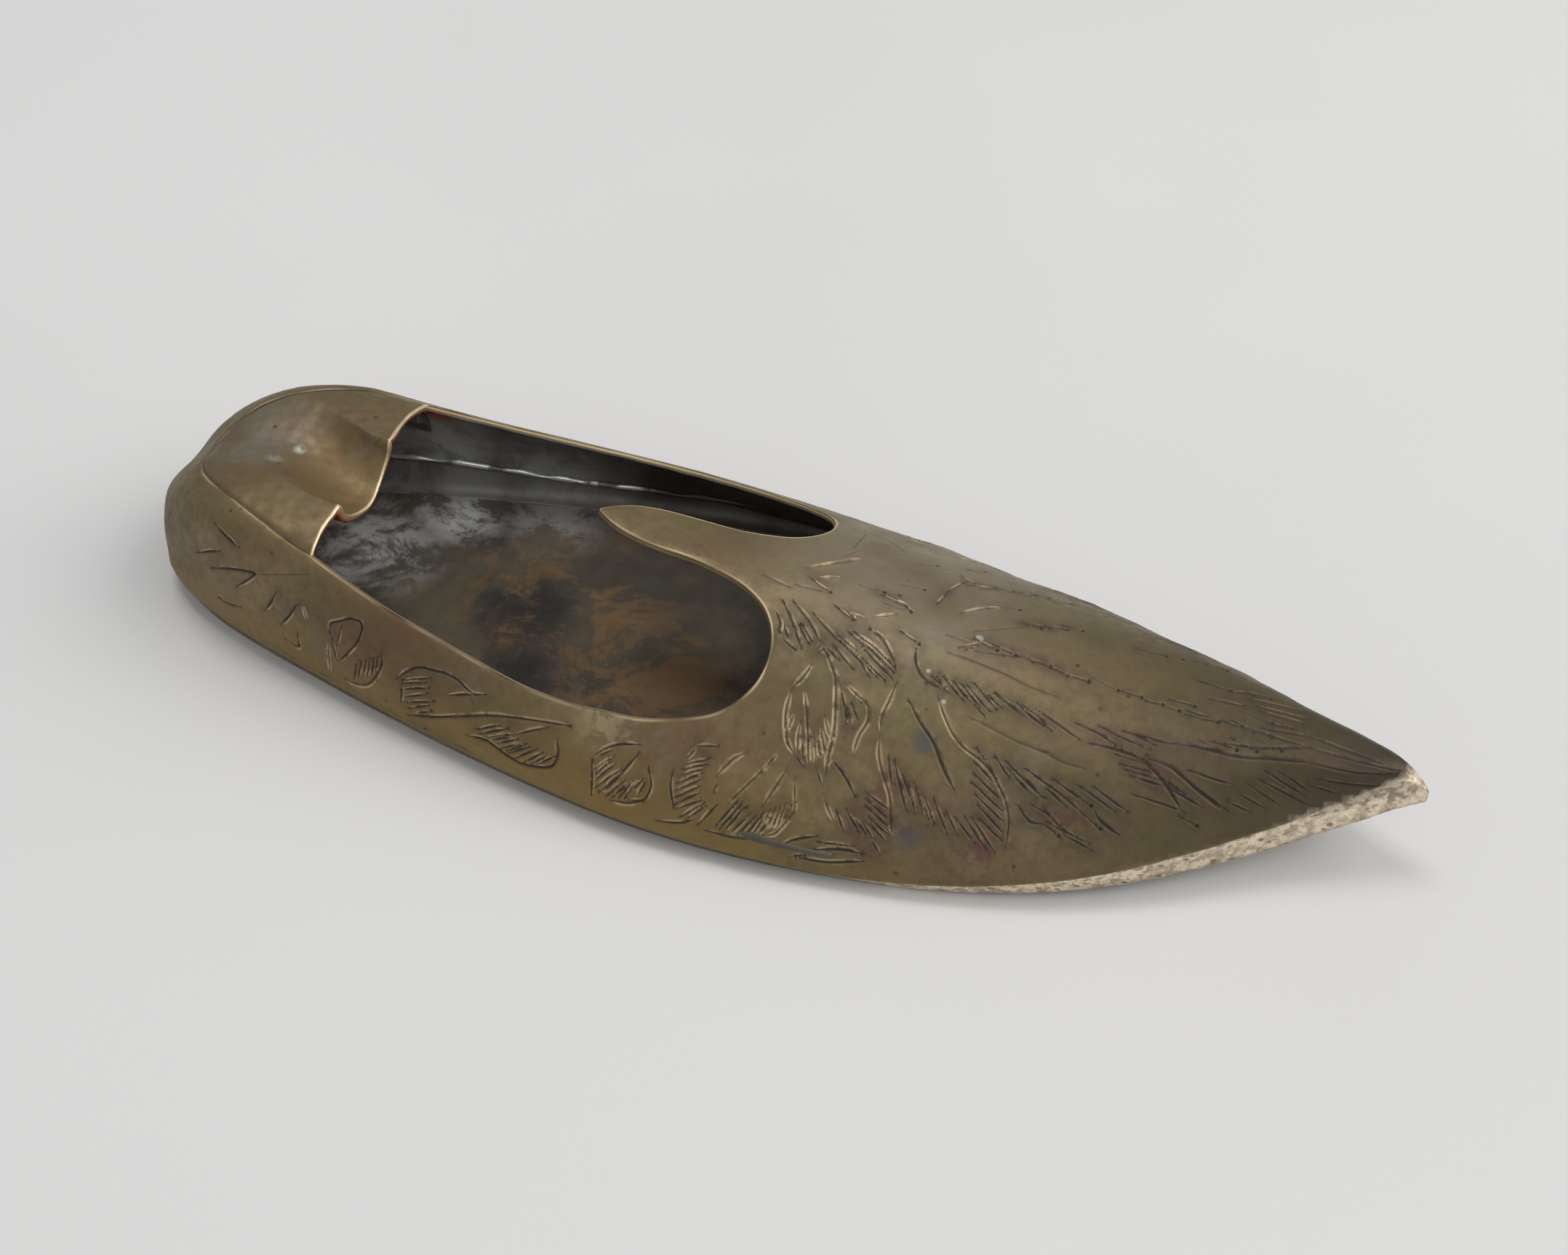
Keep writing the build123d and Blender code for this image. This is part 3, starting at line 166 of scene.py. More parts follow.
def st_of_xy(x, y):
    s = s_of_x(x); out = []
    for si, yi in zip(np.atleast_1d(s), np.atleast_1d(y)):
        i = int(np.clip(round((si - S0) / (S1 - S0) * (NS - 1)), 0, NS - 1))
        # the upper part only, between the widest rim lines
        yy = TAB[i, :, 1]; k = np.argmax(yy); k0 = np.argmin(yy)
        tau = np.interp(yi, yy[k0:k + 1], np.linspace(-1, 1, NT)[k0:k + 1])
        out.append((si, tau * tlen(si)))
    return np.array(out)


def st_of_xu(x, u):
    s = float(s_of_x(x)); i = int(np.clip(round((s - S0) / (S1 - S0) * (NS - 1)), 0, NS - 1))
    tau = np.interp(u, UT[i], np.linspace(-1, 1, NT))
    return s, tau * float(tlen(s))


# ------------------------------------------------------------------ smooth noise from sines, the same each run
_NK = [(rng.normal(size=3), rng.uniform(0, 6.28)) for _ in range(60)]


def noise3(P, scale, seed=0, n=10):
    """smooth value of about -1..1, features about scale mm"""
    v = 0
    for i in range(n):
        k, ph = _NK[(seed * 7 + i) % 60]
        v = v + np.sin(P @ (k / np.linalg.norm(k) * (2 * math.pi / scale) * (0.7 + 0.6 * ((i * 37) % 10) / 10)) + ph)
    return v / math.sqrt(n)


def smooth(a, b, x):
    t = np.clip((x - a) / (b - a), 0, 1)
    return t * t * (3 - 2 * t)


# ------------------------------------------------------------------ strokes in surface millimetres
def resample(p, step):
    p = np.asarray(p, float); l = np.concatenate([[0], np.cumsum(np.linalg.norm(np.diff(p, axis=0), axis=1))])
    n = max(2, int(round(l[-1] / step)) + 1); q = np.linspace(0, l[-1], n)
    return np.stack([np.interp(q, l, p[:, 0]), np.interp(q, l, p[:, 1])], 1)


def curve(p, step):
    """a smooth line through the points"""
    p = np.asarray(p, float)
    if len(p) < 3:
        return resample(p, step)
    l = np.concatenate([[0], np.cumsum(np.linalg.norm(np.diff(p, axis=0), axis=1))])
    keep = np.concatenate([[True], np.diff(l) > 1e-4]); p = p[keep]; l = l[keep]
    q = np.linspace(0, l[-1], max(3, int(l[-1] / step) + 1))
    c = ncs(l, p, q); lin = np.stack([np.interp(q, l, p[:, 0]), np.interp(q, l, p[:, 1])], 1)
    return 0.6 * c + 0.4 * lin


LINES, DOTS, TAILS = [], [], []
for st in STROKES:
    w_, kind, pts = st[0], st[1], st[2:]
    p = [st_of_xu(a, b) for a, b in pts]
    if kind == 3:
        DOTS.append((p[0], w_))
        # a fine tail runs into each dot from the tongue's side
        o_ = np.array([s_of_x(80.0), 0.0]); d_ = np.array(p[0]) - o_; a_ = math.atan2(d_[1], d_[0]) + rng.uniform(-0.16, 0.16)
        l_ = rng.uniform(1.6, 3.6); v_ = np.array([math.cos(a_), math.sin(a_)])
        TAILS.append(np.array([np.array(p[0]) - v_ * l_, np.array(p[0]) - v_ * l_ * 0.5 + rng.uniform(-0.08, 0.08, 2), p[0]]))
        continue
    LINES.append((curve(p, 0.38), w_, kind))
    # the far wall carries the same leaves as the near one
    m = [st_of_xu(a, 4 - b) for a, b in pts]
    if (max(a for a, b in pts) < 84 and max(b for a, b in pts) < 1.35) or (min(a for a, b in pts) >= 84 and max(b for a, b in pts) < 1.15):
        LINES.append((curve([(a + 0.7, b * 0.985) for a, b in m], 0.38), w_, kind))


def taper(n, l):
    q = np.linspace(0, 1, n)
    e = min(0.45, 1.6 / max(l, 1e-3))
    return np.clip(np.minimum(q / e, (1 - q) / (e * 0.6)), 0, 1) ** 0.9


LINES += [(curve(t_, 0.38), 0.24, 0 if i_ % 3 else 2) for i_, t_ in enumerate(TAILS)]
LP = []
for p, w_, kind in LINES:
    l = float(np.sum(np.linalg.norm(np.diff(p, axis=0), axis=1)))
    if l < 0.3:
        continue
    hw = np.maximum(w_ * 0.5 * taper(len(p), l) * (1.08, 1.00, 1.1)[kind], 0.035)
    dep = hw * (1.0 if kind != 2 else 0.35)
    LP.append((p, hw, dep, kind))


def field(q):
    """depth, cut and burr of the engraving at points q in (s, t); the burr's brightness is partly a painted highlight,
    lighter on one side of each cut
    """
    dep = np.zeros(len(q)); cut = np.zeros(len(q)); burr_and_highlight = np.zeros(len(q)); rise = np.zeros(len(q)); halo = np.zeros(len(q))
    for p, hw, dp, kind in LP:
        lo = p.min(0) - 1.8; hi = p.max(0) + 1.8
        m = np.where((q[:, 0] > lo[0]) & (q[:, 0] < hi[0]) & (q[:, 1] > lo[1]) & (q[:, 1] < hi[1]))[0]
        if not len(m):
            continue
        Q = q[m]; a = p[:-1]; d = p[1:] - a; L2 = (d ** 2).sum(1) + 1e-9
        t = np.clip(((Q[:, None] - a) * d).sum(2) / L2, 0, 1); e = Q[:, None] - (a + t[..., None] * d)
        D = np.sqrt((e ** 2).sum(2)); k = D.argmin(1); ii = np.arange(len(m)); D = D[ii, k]; f = k + t[ii, k]
        h = np.interp(f, np.arange(len(p)), hw); g = np.interp(f, np.arange(len(p)), dp)
        side = np.sign(d[k, 0] * e[ii, k, 1] - d[k, 1] * e[ii, k, 0])
        v = np.clip(1 - D / h, 0, 1)
        dep[m] = np.maximum(dep[m], g * v)
        if kind != 2:
            halo[m] += np.exp(-(D / 0.95) ** 2) * (0.5 if kind == 0 else 0.25)
        if kind != 2:
            cut[m] = np.maximum(cut[m], v if kind == 0 else v * 0.62)
            b = np.exp(-((D - h * 1.12) / 0.08) ** 2) * np.clip(h / 0.17, 0, 1)
            # the burr is painted bright, one side of each cut lighter than the other: real burr metal with a painted
            # highlight
            burr_and_highlight[m] = np.maximum(burr_and_highlight[m], b * ((0.36 + 0.34 * side) if kind == 0 else (0.85 + 0.15 * side)))
            rise[m] = np.maximum(rise[m], b * 0.035)
        else:
            cut[m] = np.maximum(cut[m], v * 0.55)
    for p, r_ in DOTS:
        D = np.hypot(q[:, 0] - p[0], q[:, 1] - p[1]); v = np.clip(1 - (D / r_) ** 2, 0, 1)
        dep = np.maximum(dep, 0.2 * v); cut = np.maximum(cut, np.minimum(1, v * 1.3))
    # the burr's painted highlight fades toward the toe's tip
    burr_and_highlight = burr_and_highlight * (1 - 0.8 * smooth(S1 - 62, S1 - 26, q[:, 0]))
    return np.where(cut > 0.02, dep, dep - rise), cut, burr_and_highlight, np.clip(halo, 0, 1)


# ------------------------------------------------------------------ mesh helpers
def make(name, V, F, attrs=None, smooth_=True, sharp=None):
    me = bpy.data.meshes.new(name)
    V = np.asarray(V, float).copy(); V[:, 0] -= MID
    me.from_pydata((V * 0.001).tolist(), [], F)
    me.validate(); me.update()
    for k, a in (attrs or {}).items():
        at = me.attributes.new(k, "FLOAT", "POINT"); at.data.foreach_set("value", np.asarray(a, np.float32))
    if smooth_:
        me.polygons.foreach_set("use_smooth", [True] * len(me.polygons))
    ob = bpy.data.objects.new(name, me); bpy.context.scene.collection.objects.link(ob)
    return ob


def in_poly(q, poly):
    x, y = q[:, 0], q[:, 1]; r = np.zeros(len(q), bool); n = len(poly)
    for i in range(n):
        x1, y1 = poly[i]; x2, y2 = poly[(i + 1) % n]
        c = (y1 > y) != (y2 > y)
        with np.errstate(divide="ignore", invalid="ignore"):
            xi = (x2 - x1) * (y - y1) / (y2 - y1) + x1
        r ^= c & (x < xi)
    return r


def dist_poly(q, poly, closed=True):
    a = np.asarray(poly); b = np.roll(a, -1, 0)
    if not closed:
        a, b = a[:-1], a[1:]
    best = np.full(len(q), 1e9)
    for i in range(0, len(a), 40):
        aa, dd = a[i:i + 40], (b - a)[i:i + 40]; L2 = (dd ** 2).sum(1) + 1e-9
        for j in range(0, len(q), 20000):
            Q = q[j:j + 20000]
            t = np.clip(((Q[:, None] - aa) * dd).sum(2) / L2, 0, 1); e = Q[:, None] - (aa + t[..., None] * dd)
            best[j:j + 20000] = np.minimum(best[j:j + 20000], np.sqrt((e ** 2).sum(2)).min(1))
    return best


# ------------------------------------------------------------------ plan outlines
def plan_curve(pts, step):
    p = np.asarray(pts, float); l = np.concatenate([[0], np.cumsum(np.linalg.norm(np.diff(p, axis=0), axis=1))])
    q = np.linspace(0, l[-1], int(l[-1] / step) + 1)
    return ncs(l, p, q)


oh = plan_curve(OPEN, 0.45)
oh[-1] = OPEN[-1]
hh = plan_curve(HEEL, 0.45)
# one hole in the upper: the opening and the heel rest's seat together
hole_far = np.concatenate([hh[::-1], oh[1:]])            # from the rear of the heel seat along the far side to the tongue
hole_near = hole_far[::-1][1:-1] * [1, -1]
hole_xy = np.concatenate([hole_far, hole_near])
# hand-made edge: a few tenths of a millimetre of wander
wob = 0.10 * noise3(np.c_[hole_xy, np.zeros(len(hole_xy))], 16.0, 1) + 0.03 * noise3(np.c_[hole_xy, np.zeros(len(hole_xy))], 6.0, 2)
tan = np.roll(hole_xy, -1, 0) - np.roll(hole_xy, 1, 0); tan /= np.linalg.norm(tan, axis=1, keepdims=True)
hole_xy = hole_xy + np.stack([tan[:, 1], -tan[:, 0]], 1) * wob[:, None]
HOLE = st_of_xy(hole_xy[:, 0], hole_xy[:, 1])
_c = np.concatenate([HOLE, HOLE[:1]]); _l = np.concatenate([[0], np.cumsum(np.linalg.norm(np.diff(_c, axis=0), axis=1))])
_q = np.linspace(0, _l[-1], int(_l[-1] / 0.4) + 1)[:-1]
HOLE = np.stack([np.interp(_q, _l, _c[:, 0]), np.interp(_q, _l, _c[:, 1])], 1)
for _ in range(2):
    HOLE = 0.5 * HOLE + 0.25 * (np.roll(HOLE, 1, 0) + np.roll(HOLE, -1, 0))
_t = np.roll(HOLE, -1, 0) - np.roll(HOLE, 1, 0); _t /= np.linalg.norm(_t, axis=1, keepdims=True)
_n = np.stack([_t[:, 1], -_t[:, 0]], 1)
_a = 0.5 * np.sum(HOLE[:, 0] * np.roll(HOLE[:, 1], -1) - np.roll(HOLE[:, 0], -1) * HOLE[:, 1])
RINGS = [HOLE + _n * (d * np.sign(_a)) for d in (0.22, 0.5, 0.9)]


# ------------------------------------------------------------------ the upper
def hashed(points, r):
    """keeps points at least r apart, the first ones winning"""
    cell = {}; keep = []
    for i, (a, b) in enumerate(points):
        ka, kb = int(a // r), int(b // r); ok = True
        for da in (-1, 0, 1):
            for db in (-1, 0, 1):
                for j in cell.get((ka + da, kb + db), ()):
                    if (points[j][0] - a) ** 2 + (points[j][1] - b) ** 2 < r * r:
                        ok = False; break
                if not ok: break
            if not ok: break
        if ok:
            cell.setdefault((ka, kb), []).append(i); keep.append(i)
    return keep


def edge_points():
    """outline of the whole skin in (s, t), going round once"""
    s_ = np.concatenate([np.linspace(S0, 6, 16), np.linspace(6, S1, 230)[1:]])
    T = tlen(s_)
    near = np.stack([s_, -T], 1); far = np.stack([s_[::-1], T[::-1]], 1)
    toe = [(S1, v) for v in np.linspace(-T[-1], T[-1], 4)[1:-1]]
    back = [(S0, v) for v in np.linspace(T[0], -T[0], 5)[1:-1]]
    return near, far, np.array(toe).reshape(-1, 2), np.array(back).reshape(-1, 2)


near, far, toe, back = edge_points()
EDGE = np.concatenate([near, toe, far, back])


def skin(step, with_strokes):
    fixed = [tuple(p) for p in EDGE] + [tuple(p) for p in HOLE]
    nE, nH = len(EDGE), len(HOLE)
    edges = [(i, (i + 1) % nE) for i in range(nE)] + [(nE + i, nE + (i + 1) % nH) for i in range(nH)]
    cand = []
    if with_strokes:
        for p, hw, dp, kind in LP:
            d = np.gradient(p, axis=0); n = np.stack([-d[:, 1], d[:, 0]], 1); n /= np.linalg.norm(n, axis=1, keepdims=True) + 1e-9
            cand += [tuple(v) for v in p]
            for k in (1.0, -1.0):
                cand += [tuple(v) for v in p + n * (hw * k)[:, None]]
            for k in (1, -1):
                cand += [tuple(v) for v in p + n * ((hw + 0.17) * k)[:, None]]
        for (a, b), r_ in DOTS:
            cand.append((a, b))
            for rr, m in ((r_ * 0.55, 7), (r_, 9), (r_ * 1.5, 9)):
                cand += [(a + rr * math.cos(v), b + rr * math.sin(v)) for v in np.linspace(0, 2 * math.pi, m)[:-1]]
    ga = []
    row = 0
    for a in np.arange(S0 + step * 0.6, S1 - 0.2, step * 0.87):
        T = float(tlen(a)); n = int(2 * T / step) + 1
        ga += [(a, v + (step / 2 if row % 2 else 0)) for v in np.linspace(-T, T, n) if abs(v + (step / 2 if row % 2 else 0)) < T - step * 0.35]
        row += 1
    ga = np.array(ga)
    if with_strokes and cand:
        # drop grid points that crowd the strokes
        key = set((int(a // 0.45), int(b // 0.45)) for a, b in cand)
        ga = np.array([g for g in ga if (int(g[0] // 0.45), int(g[1] // 0.45)) not in key])
    ring = [tuple(v) for r_ in RINGS for v in r_]
    pts = np.array(ring + cand + [tuple(g) for g in ga])
    T = tlen(pts[:, 0])
    ok = (np.abs(pts[:, 1]) < T - 0.25) & (pts[:, 0] > S0 + 0.15) & (pts[:, 0] < S1 - 0.15)
    pts = pts[ok]
    ok = ~in_poly(pts, HOLE); pts = pts[ok]
    dd = dist_poly(pts, HOLE); nr = np.arange(len(pts))
    isr = np.array([tuple(p) in set(ring) for p in pts]); ok = (dd > 0.19) & (isr | (dd > 1.0)); pts = pts[ok]
    keep = hashed([tuple(p) for p in pts], 0.085 if with_strokes else step * 0.45)
    pts = pts[keep]
    allp = fixed + [tuple(p) for p in pts]
    res = delaunay_2d_cdt([Vector(p) for p in allp], edges, [], 1, 1e-5, True)
    P = np.array([(v.x, v.y) for v in res[0]]); F = res[2]; orig = res[3]
    C = np.array([P[list(f)].mean(0) for f in F])
    hole = in_poly(C, HOLE)
    F = [tuple(f) for f, h in zip(F, hole) if not h]
    first = {}
    for i, o in enumerate(orig):
        for k in o:
            first[k] = i
    edge_i = [first[i] for i in range(nE)]; hole_i = [first[nE + i] for i in range(nH)]
    return P, F, edge_i, hole_i


def side_rim(P3):
    return smooth(11.5, 14.5, np.abs(P3[:, 1]))


def build_upper():
    Po, Fo, Eo, Ho = skin(0.9, True)
    Pi, Fi, Ei, Hi = skin(1.3, False)
    X, N = surf(Po[:, 0], Po[:, 1])
    dep, cut, burr_and_highlight, halo = field(Po)
    dh = dist_poly(Po, HOLE)
    wav = (0.10 * noise3(X, 17.0, 3) + 0.035 * noise3(X, 5.0, 4) + 0.012 * noise3(X, 1.7, 5)) * smooth(0, 3.0, dh)
    wav *= smooth(0.0, 6.0, tlen(Po[:, 0]))
    # the edge is worn round
    lip = 0.13 * (1 - smooth(0.0, 0.6, dh)) ** 2
    Vo = X + N * (wav - dep * smooth(0.1, 0.6, dh) - lip)[:, None] - N * 0.05
    # inner skin
    XI, NI = surf(Pi[:, 0], Pi[:, 1])
    di = dist_poly(Pi, HOLE)
    sr = side_rim(XI)
    rimt = 0.80 * sr + 1.15 * (1 - sr)
    th = rimt + (WALL - rimt) * smooth(0.0, 5.0, di)
    wl = np.interp(Pi[:, 0], ts, KN[1]); th = np.minimum(th, 0.42 * wl + 0.03)
    Vi = XI - NI * (th + 0.02 * noise3(XI, 3.0, 6))[:, None]
    V = [Vo, Vi]; no, ni = len(Vo), len(Vi)
    F = list(Fo) + [tuple(no + k for k in f[::-1]) for f in Fi]
    # orientation: the outer faces must look outward
    f = Fo[len(Fo) // 2]; a, b, c = Vo[f[0]], Vo[f[1]], Vo[f[2]]
    flip = np.dot(np.cross(b - a, c - a), N[f[0]]) < 0
    extra, tagw = [], []

    def add(rows):
        base = no + ni + sum(len(e) for e in extra); extra.append(rows); return list(range(base, base + len(rows)))
    # rim: a rounded band between the two skins
    nH = len(Ho); A = Vo[Ho]; B = Vi[Hi]
    mid1 = A * 0.72 + B * 0.28; mid2 = A * 0.28 + B * 0.72
    tn = np.roll(A, -1, 0) - np.roll(A, 1, 0); tn /= np.linalg.norm(tn, axis=1, keepdims=True)
    outw = np.cross(tn, (A - B)); outw /= np.linalg.norm(outw, axis=1, keepdims=True) + 1e-9
    cen = np.array([55.0, 0, 0]); sgn = np.sign(((A - cen)[:, :2] * outw[:, :2]).sum(1).mean())
    # points away from the metal, into the opening
    test = Vo[Ho[10]] - outw[10] * 0.5
    hx = surf(HOLE[:, 0], HOLE[:, 1])[0]
    inside_dir = -np.sign(sum(np.dot(outw[i], hx[i] - np.array([hx[i][0], 0, hx[i][2]])) for i in range(nH)))
    bul = outw * inside_dir * 0.12
    m1 = add(mid1 + bul); m2 = add(mid2 + bul)
    ringA = Ho; ringB = [no + k for k in Hi]
    for i in range(nH):
        j = (i + 1) % nH
        for p, q in ((ringA, m1), (m1, m2), (m2, ringB)):
            F.append((p[i], q[i], q[j], p[j]) if flip else (p[j], q[j], q[i], p[i]))
    # skirt below the widest line, outside and inside
    Es = EDGE[:, 0]; xe = x_of_s(Es); ws, w, zs, zb, r, zr, zc = knots(xe); top = np.minimum(sole_top(xe), zb - 0.02)
    sg = np.sign(EDGE[:, 1]); e0 = Vo[Eo]
    yo = ws + (w - ws) * np.clip((top - zs) / (zb - zs), 0, 1)
    fr = (np.abs(EDGE[:, 1]) / np.maximum(tlen(Es), 1e-6)) * sg
    rows = []
    for f_, bulge in ((0.35, 0.14), (0.7, 0.10), (1.0, 0.0)):
        zz = e0[:, 2] + (top - e0[:, 2]) * f_; yy = np.abs(e0[:, 1]) + (yo * np.abs(fr) - np.abs(e0[:, 1])) * f_ + bulge * np.clip(w / 6, 0, 1) * smooth(0.1, 1.2, zb - top)
        rows.append(np.stack([e0[:, 0], sg * yy, zz], 1))
    ids = [Eo] + [add(rw) for rw in rows]
    i0 = Vi[Ei]; rr = add(np.stack([i0[:, 0], i0[:, 1], np.minimum(top, i0[:, 2] - 0.01)], 1)); ids.append(rr); ids.append([no + k for k in Ei])
    nE = len(Eo)
    for i in range(nE):
        j = (i + 1) % nE
        for k in range(len(ids) - 1):
            p, q = ids[k], ids[k + 1]
            F.append((p[i], q[i], q[j], p[j]) if not flip else (p[j], q[j], q[i], p[i]))
    V = np.concatenate([Vo, Vi] + extra)
    n = len(V)
    at = {k: np.zeros(n) for k in ("cut", "burr_and_highlight", "wear_and_highlight", "soot", "low", "halo", "ground")}
    at["halo"][:no] = halo; at["ground"][:no] = smooth(147.0, 147.7, X[:, 0] + 0.25 * noise3(X, 2.0, 3) - 0.12 * (X[:, 1] + 0.4)); at["cut"][:no] = cut; at["burr_and_highlight"][:no] = burr_and_highlight
    # bright worn edge with a painted highlight line along it, stronger along the sides and the tongue's lip
    we = (1 - smooth(0.0, 0.42, dh)) * (0.75 + 0.4 * noise3(X, 6.0, 8))
    at["wear_and_highlight"][:no] = np.clip(we, 0, 1)
    at["wear_and_highlight"][m1[0]:m1[-1] + 1] = 0.8; at["wear_and_highlight"][m2[0]:m2[-1] + 1] = 0.4
    at["soot"][no:no + ni] = 1.0
    at["soot"][m2[0]:m2[-1] + 1] = 0.35
    at["low"][:no] = (1 - smooth(4.0, 12.5, X[:, 2])) * (1 - smooth(78, 96, X[:, 0])) + (1 - smooth(0.0, 5.0, X[:, 2])) * 0.4 * smooth(78, 96, X[:, 0])
    for k in ids[1:4]:
        at["low"][k] = 1.0
        at["ground"][k] = smooth(133.5, 138.5, e0[:, 0] + 0.7 * noise3(e0, 2.0, 3))
    at["ground"][ids[0]] = np.maximum(at["ground"][ids[0]], 0.55 * smooth(134.5, 139.5, e0[:, 0]))
    at["soot"][ids[4]] = 1.0
    if flip:
        F = [f[::-1] for f in F]
    return make("upper_body", V, F, at)


upper = build_upper()
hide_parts("upper_shell"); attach(upper, "root")


# ------------------------------------------------------------------ sole with its ground toe edge and the well floor
def grid_faces(nr, nc, off=0, closed=False):
    F = []
    for i in range(nr - 1):
        for j in range(nc if closed else nc - 1):
            k = (j + 1) % nc
            F.append((off + i * nc + j, off + i * nc + k, off + (i + 1) * nc + k, off + (i + 1) * nc + j))
    return F


def build_sole():
    s_ = np.concatenate([np.linspace(S0, 8, 14), np.linspace(8, S1, 330)[1:]])
    x = x_of_s(s_); ws, w, zs, zb, r, zr, zc = knots(x); top = np.minimum(sole_top(x), zb - 0.02)
    ytop = ws + (w - ws) * np.clip((top - zs) / (zb - zs), 0, 1)
    NSd, NB, NTp = 9, 46, 96
    P = []; A = []
    for i in range(len(x)):
        ring = []; at = []
        f = np.linspace(0, 1, NSd)
        # near side from the seam down
        for q in f:
            ring.append((x[i], -(ytop[i] + (ws[i] - ytop[i]) * q), top[i] + (zs[i] - top[i]) * q)); at.append(1)
        for q in np.linspace(-1, 1, NB + 2)[1:-1]:
            ring.append((x[i], ws[i] * q, zs[i])); at.append(2)
        for q in f[::-1]:
            ring.append((x[i], ytop[i] + (ws[i] - ytop[i]) * q, top[i] + (zs[i] - top[i]) * q)); at.append(1)
        yi = max(ytop[i] - 0.25, ytop[i] * 0.7)
        for q in np.linspace(1, -1, NTp):
            ring.append((x[i], yi * q, top[i])); at.append(3)
        P.append(ring); A.append(at)
    P = np.array(P); A = np.array(A); n, m, _ = P.shape
    V = P.reshape(-1, 3).copy(); a = A.reshape(-1)
    X = V.copy()
    toe_k = smooth(92, 112, X[:, 0])
    # ground facet: pits and file marks, over the toe's side faces
    side = a == 1
    pit = noise3(X, 0.95, 9, 18); pit = np.clip(pit - 1.1, 0, 1)
    fine = noise3(X, 0.6, 2, 16)
    out = np.zeros_like(V); out[:, 1] = np.sign(V[:, 1]); out[:, 0] = 0.35 * toe_k
    V += out * (side * toe_k * (-0.13 * pit + 0.035 * fine))[:, None]
    # underside: faint scraping, and a soft edge
    V[:, 2] += (a == 2) * 0.015 * np.clip(noise3(X, 6, 4), 0, 1)
    # well floor: the cast surface with its scale and a little ash
    fl = a == 3
    V[:, 2] += fl * (0.07 * noise3(X, 11, 5) + 0.035 * noise3(X, 3.2, 1, 14) + 0.02 * noise3(X, 1.4, 8, 14)
                     + 0.10 * np.clip(noise3(X, 2.2, 6, 14) - 0.6, 0, 1) * smooth(46, 30, X[:, 0]))
    V[:, 2] = np.maximum(V[:, 2], 0.0)
    F = grid_faces(n, m, 0, True)
    F.append(tuple(range(m))[::-1]); F.append(tuple(range((n - 1) * m, n * m)))
    at = {"pit": side * np.clip(pit * 2, 0, 1) * toe_k, "strip": side * smooth(88, 104, X[:, 0]) * 1.0, "floor": fl * 1.0,
          "under": (a == 2) * 1.0}
    return make("sole_body", V, F, at)


sole = build_sole()
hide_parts("sole_plate"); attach(sole, "root")


# ------------------------------------------------------------------ heel rest with the cigarette groove
def dome_z(x, y):
    s_ = s_of_x(x); fi = np.clip((s_ - S0) / (S1 - S0) * (NS - 1), 0, NS - 1.001); out = np.zeros_like(np.asarray(y, float))
    for k in range(len(out)):
        i = int(fi[k]); f = fi[k] - i
        zz = []
        for ii in (i, i + 1):
            yy = TAB[ii, :, 1]; a_, b_ = yy.argmin(), yy.argmax(); zz.append(np.interp(y[k], yy[a_:b_ + 1], TAB[ii, a_:b_ + 1, 2]))
        out[k] = zz[0] * (1 - f) + zz[1] * f
    return out


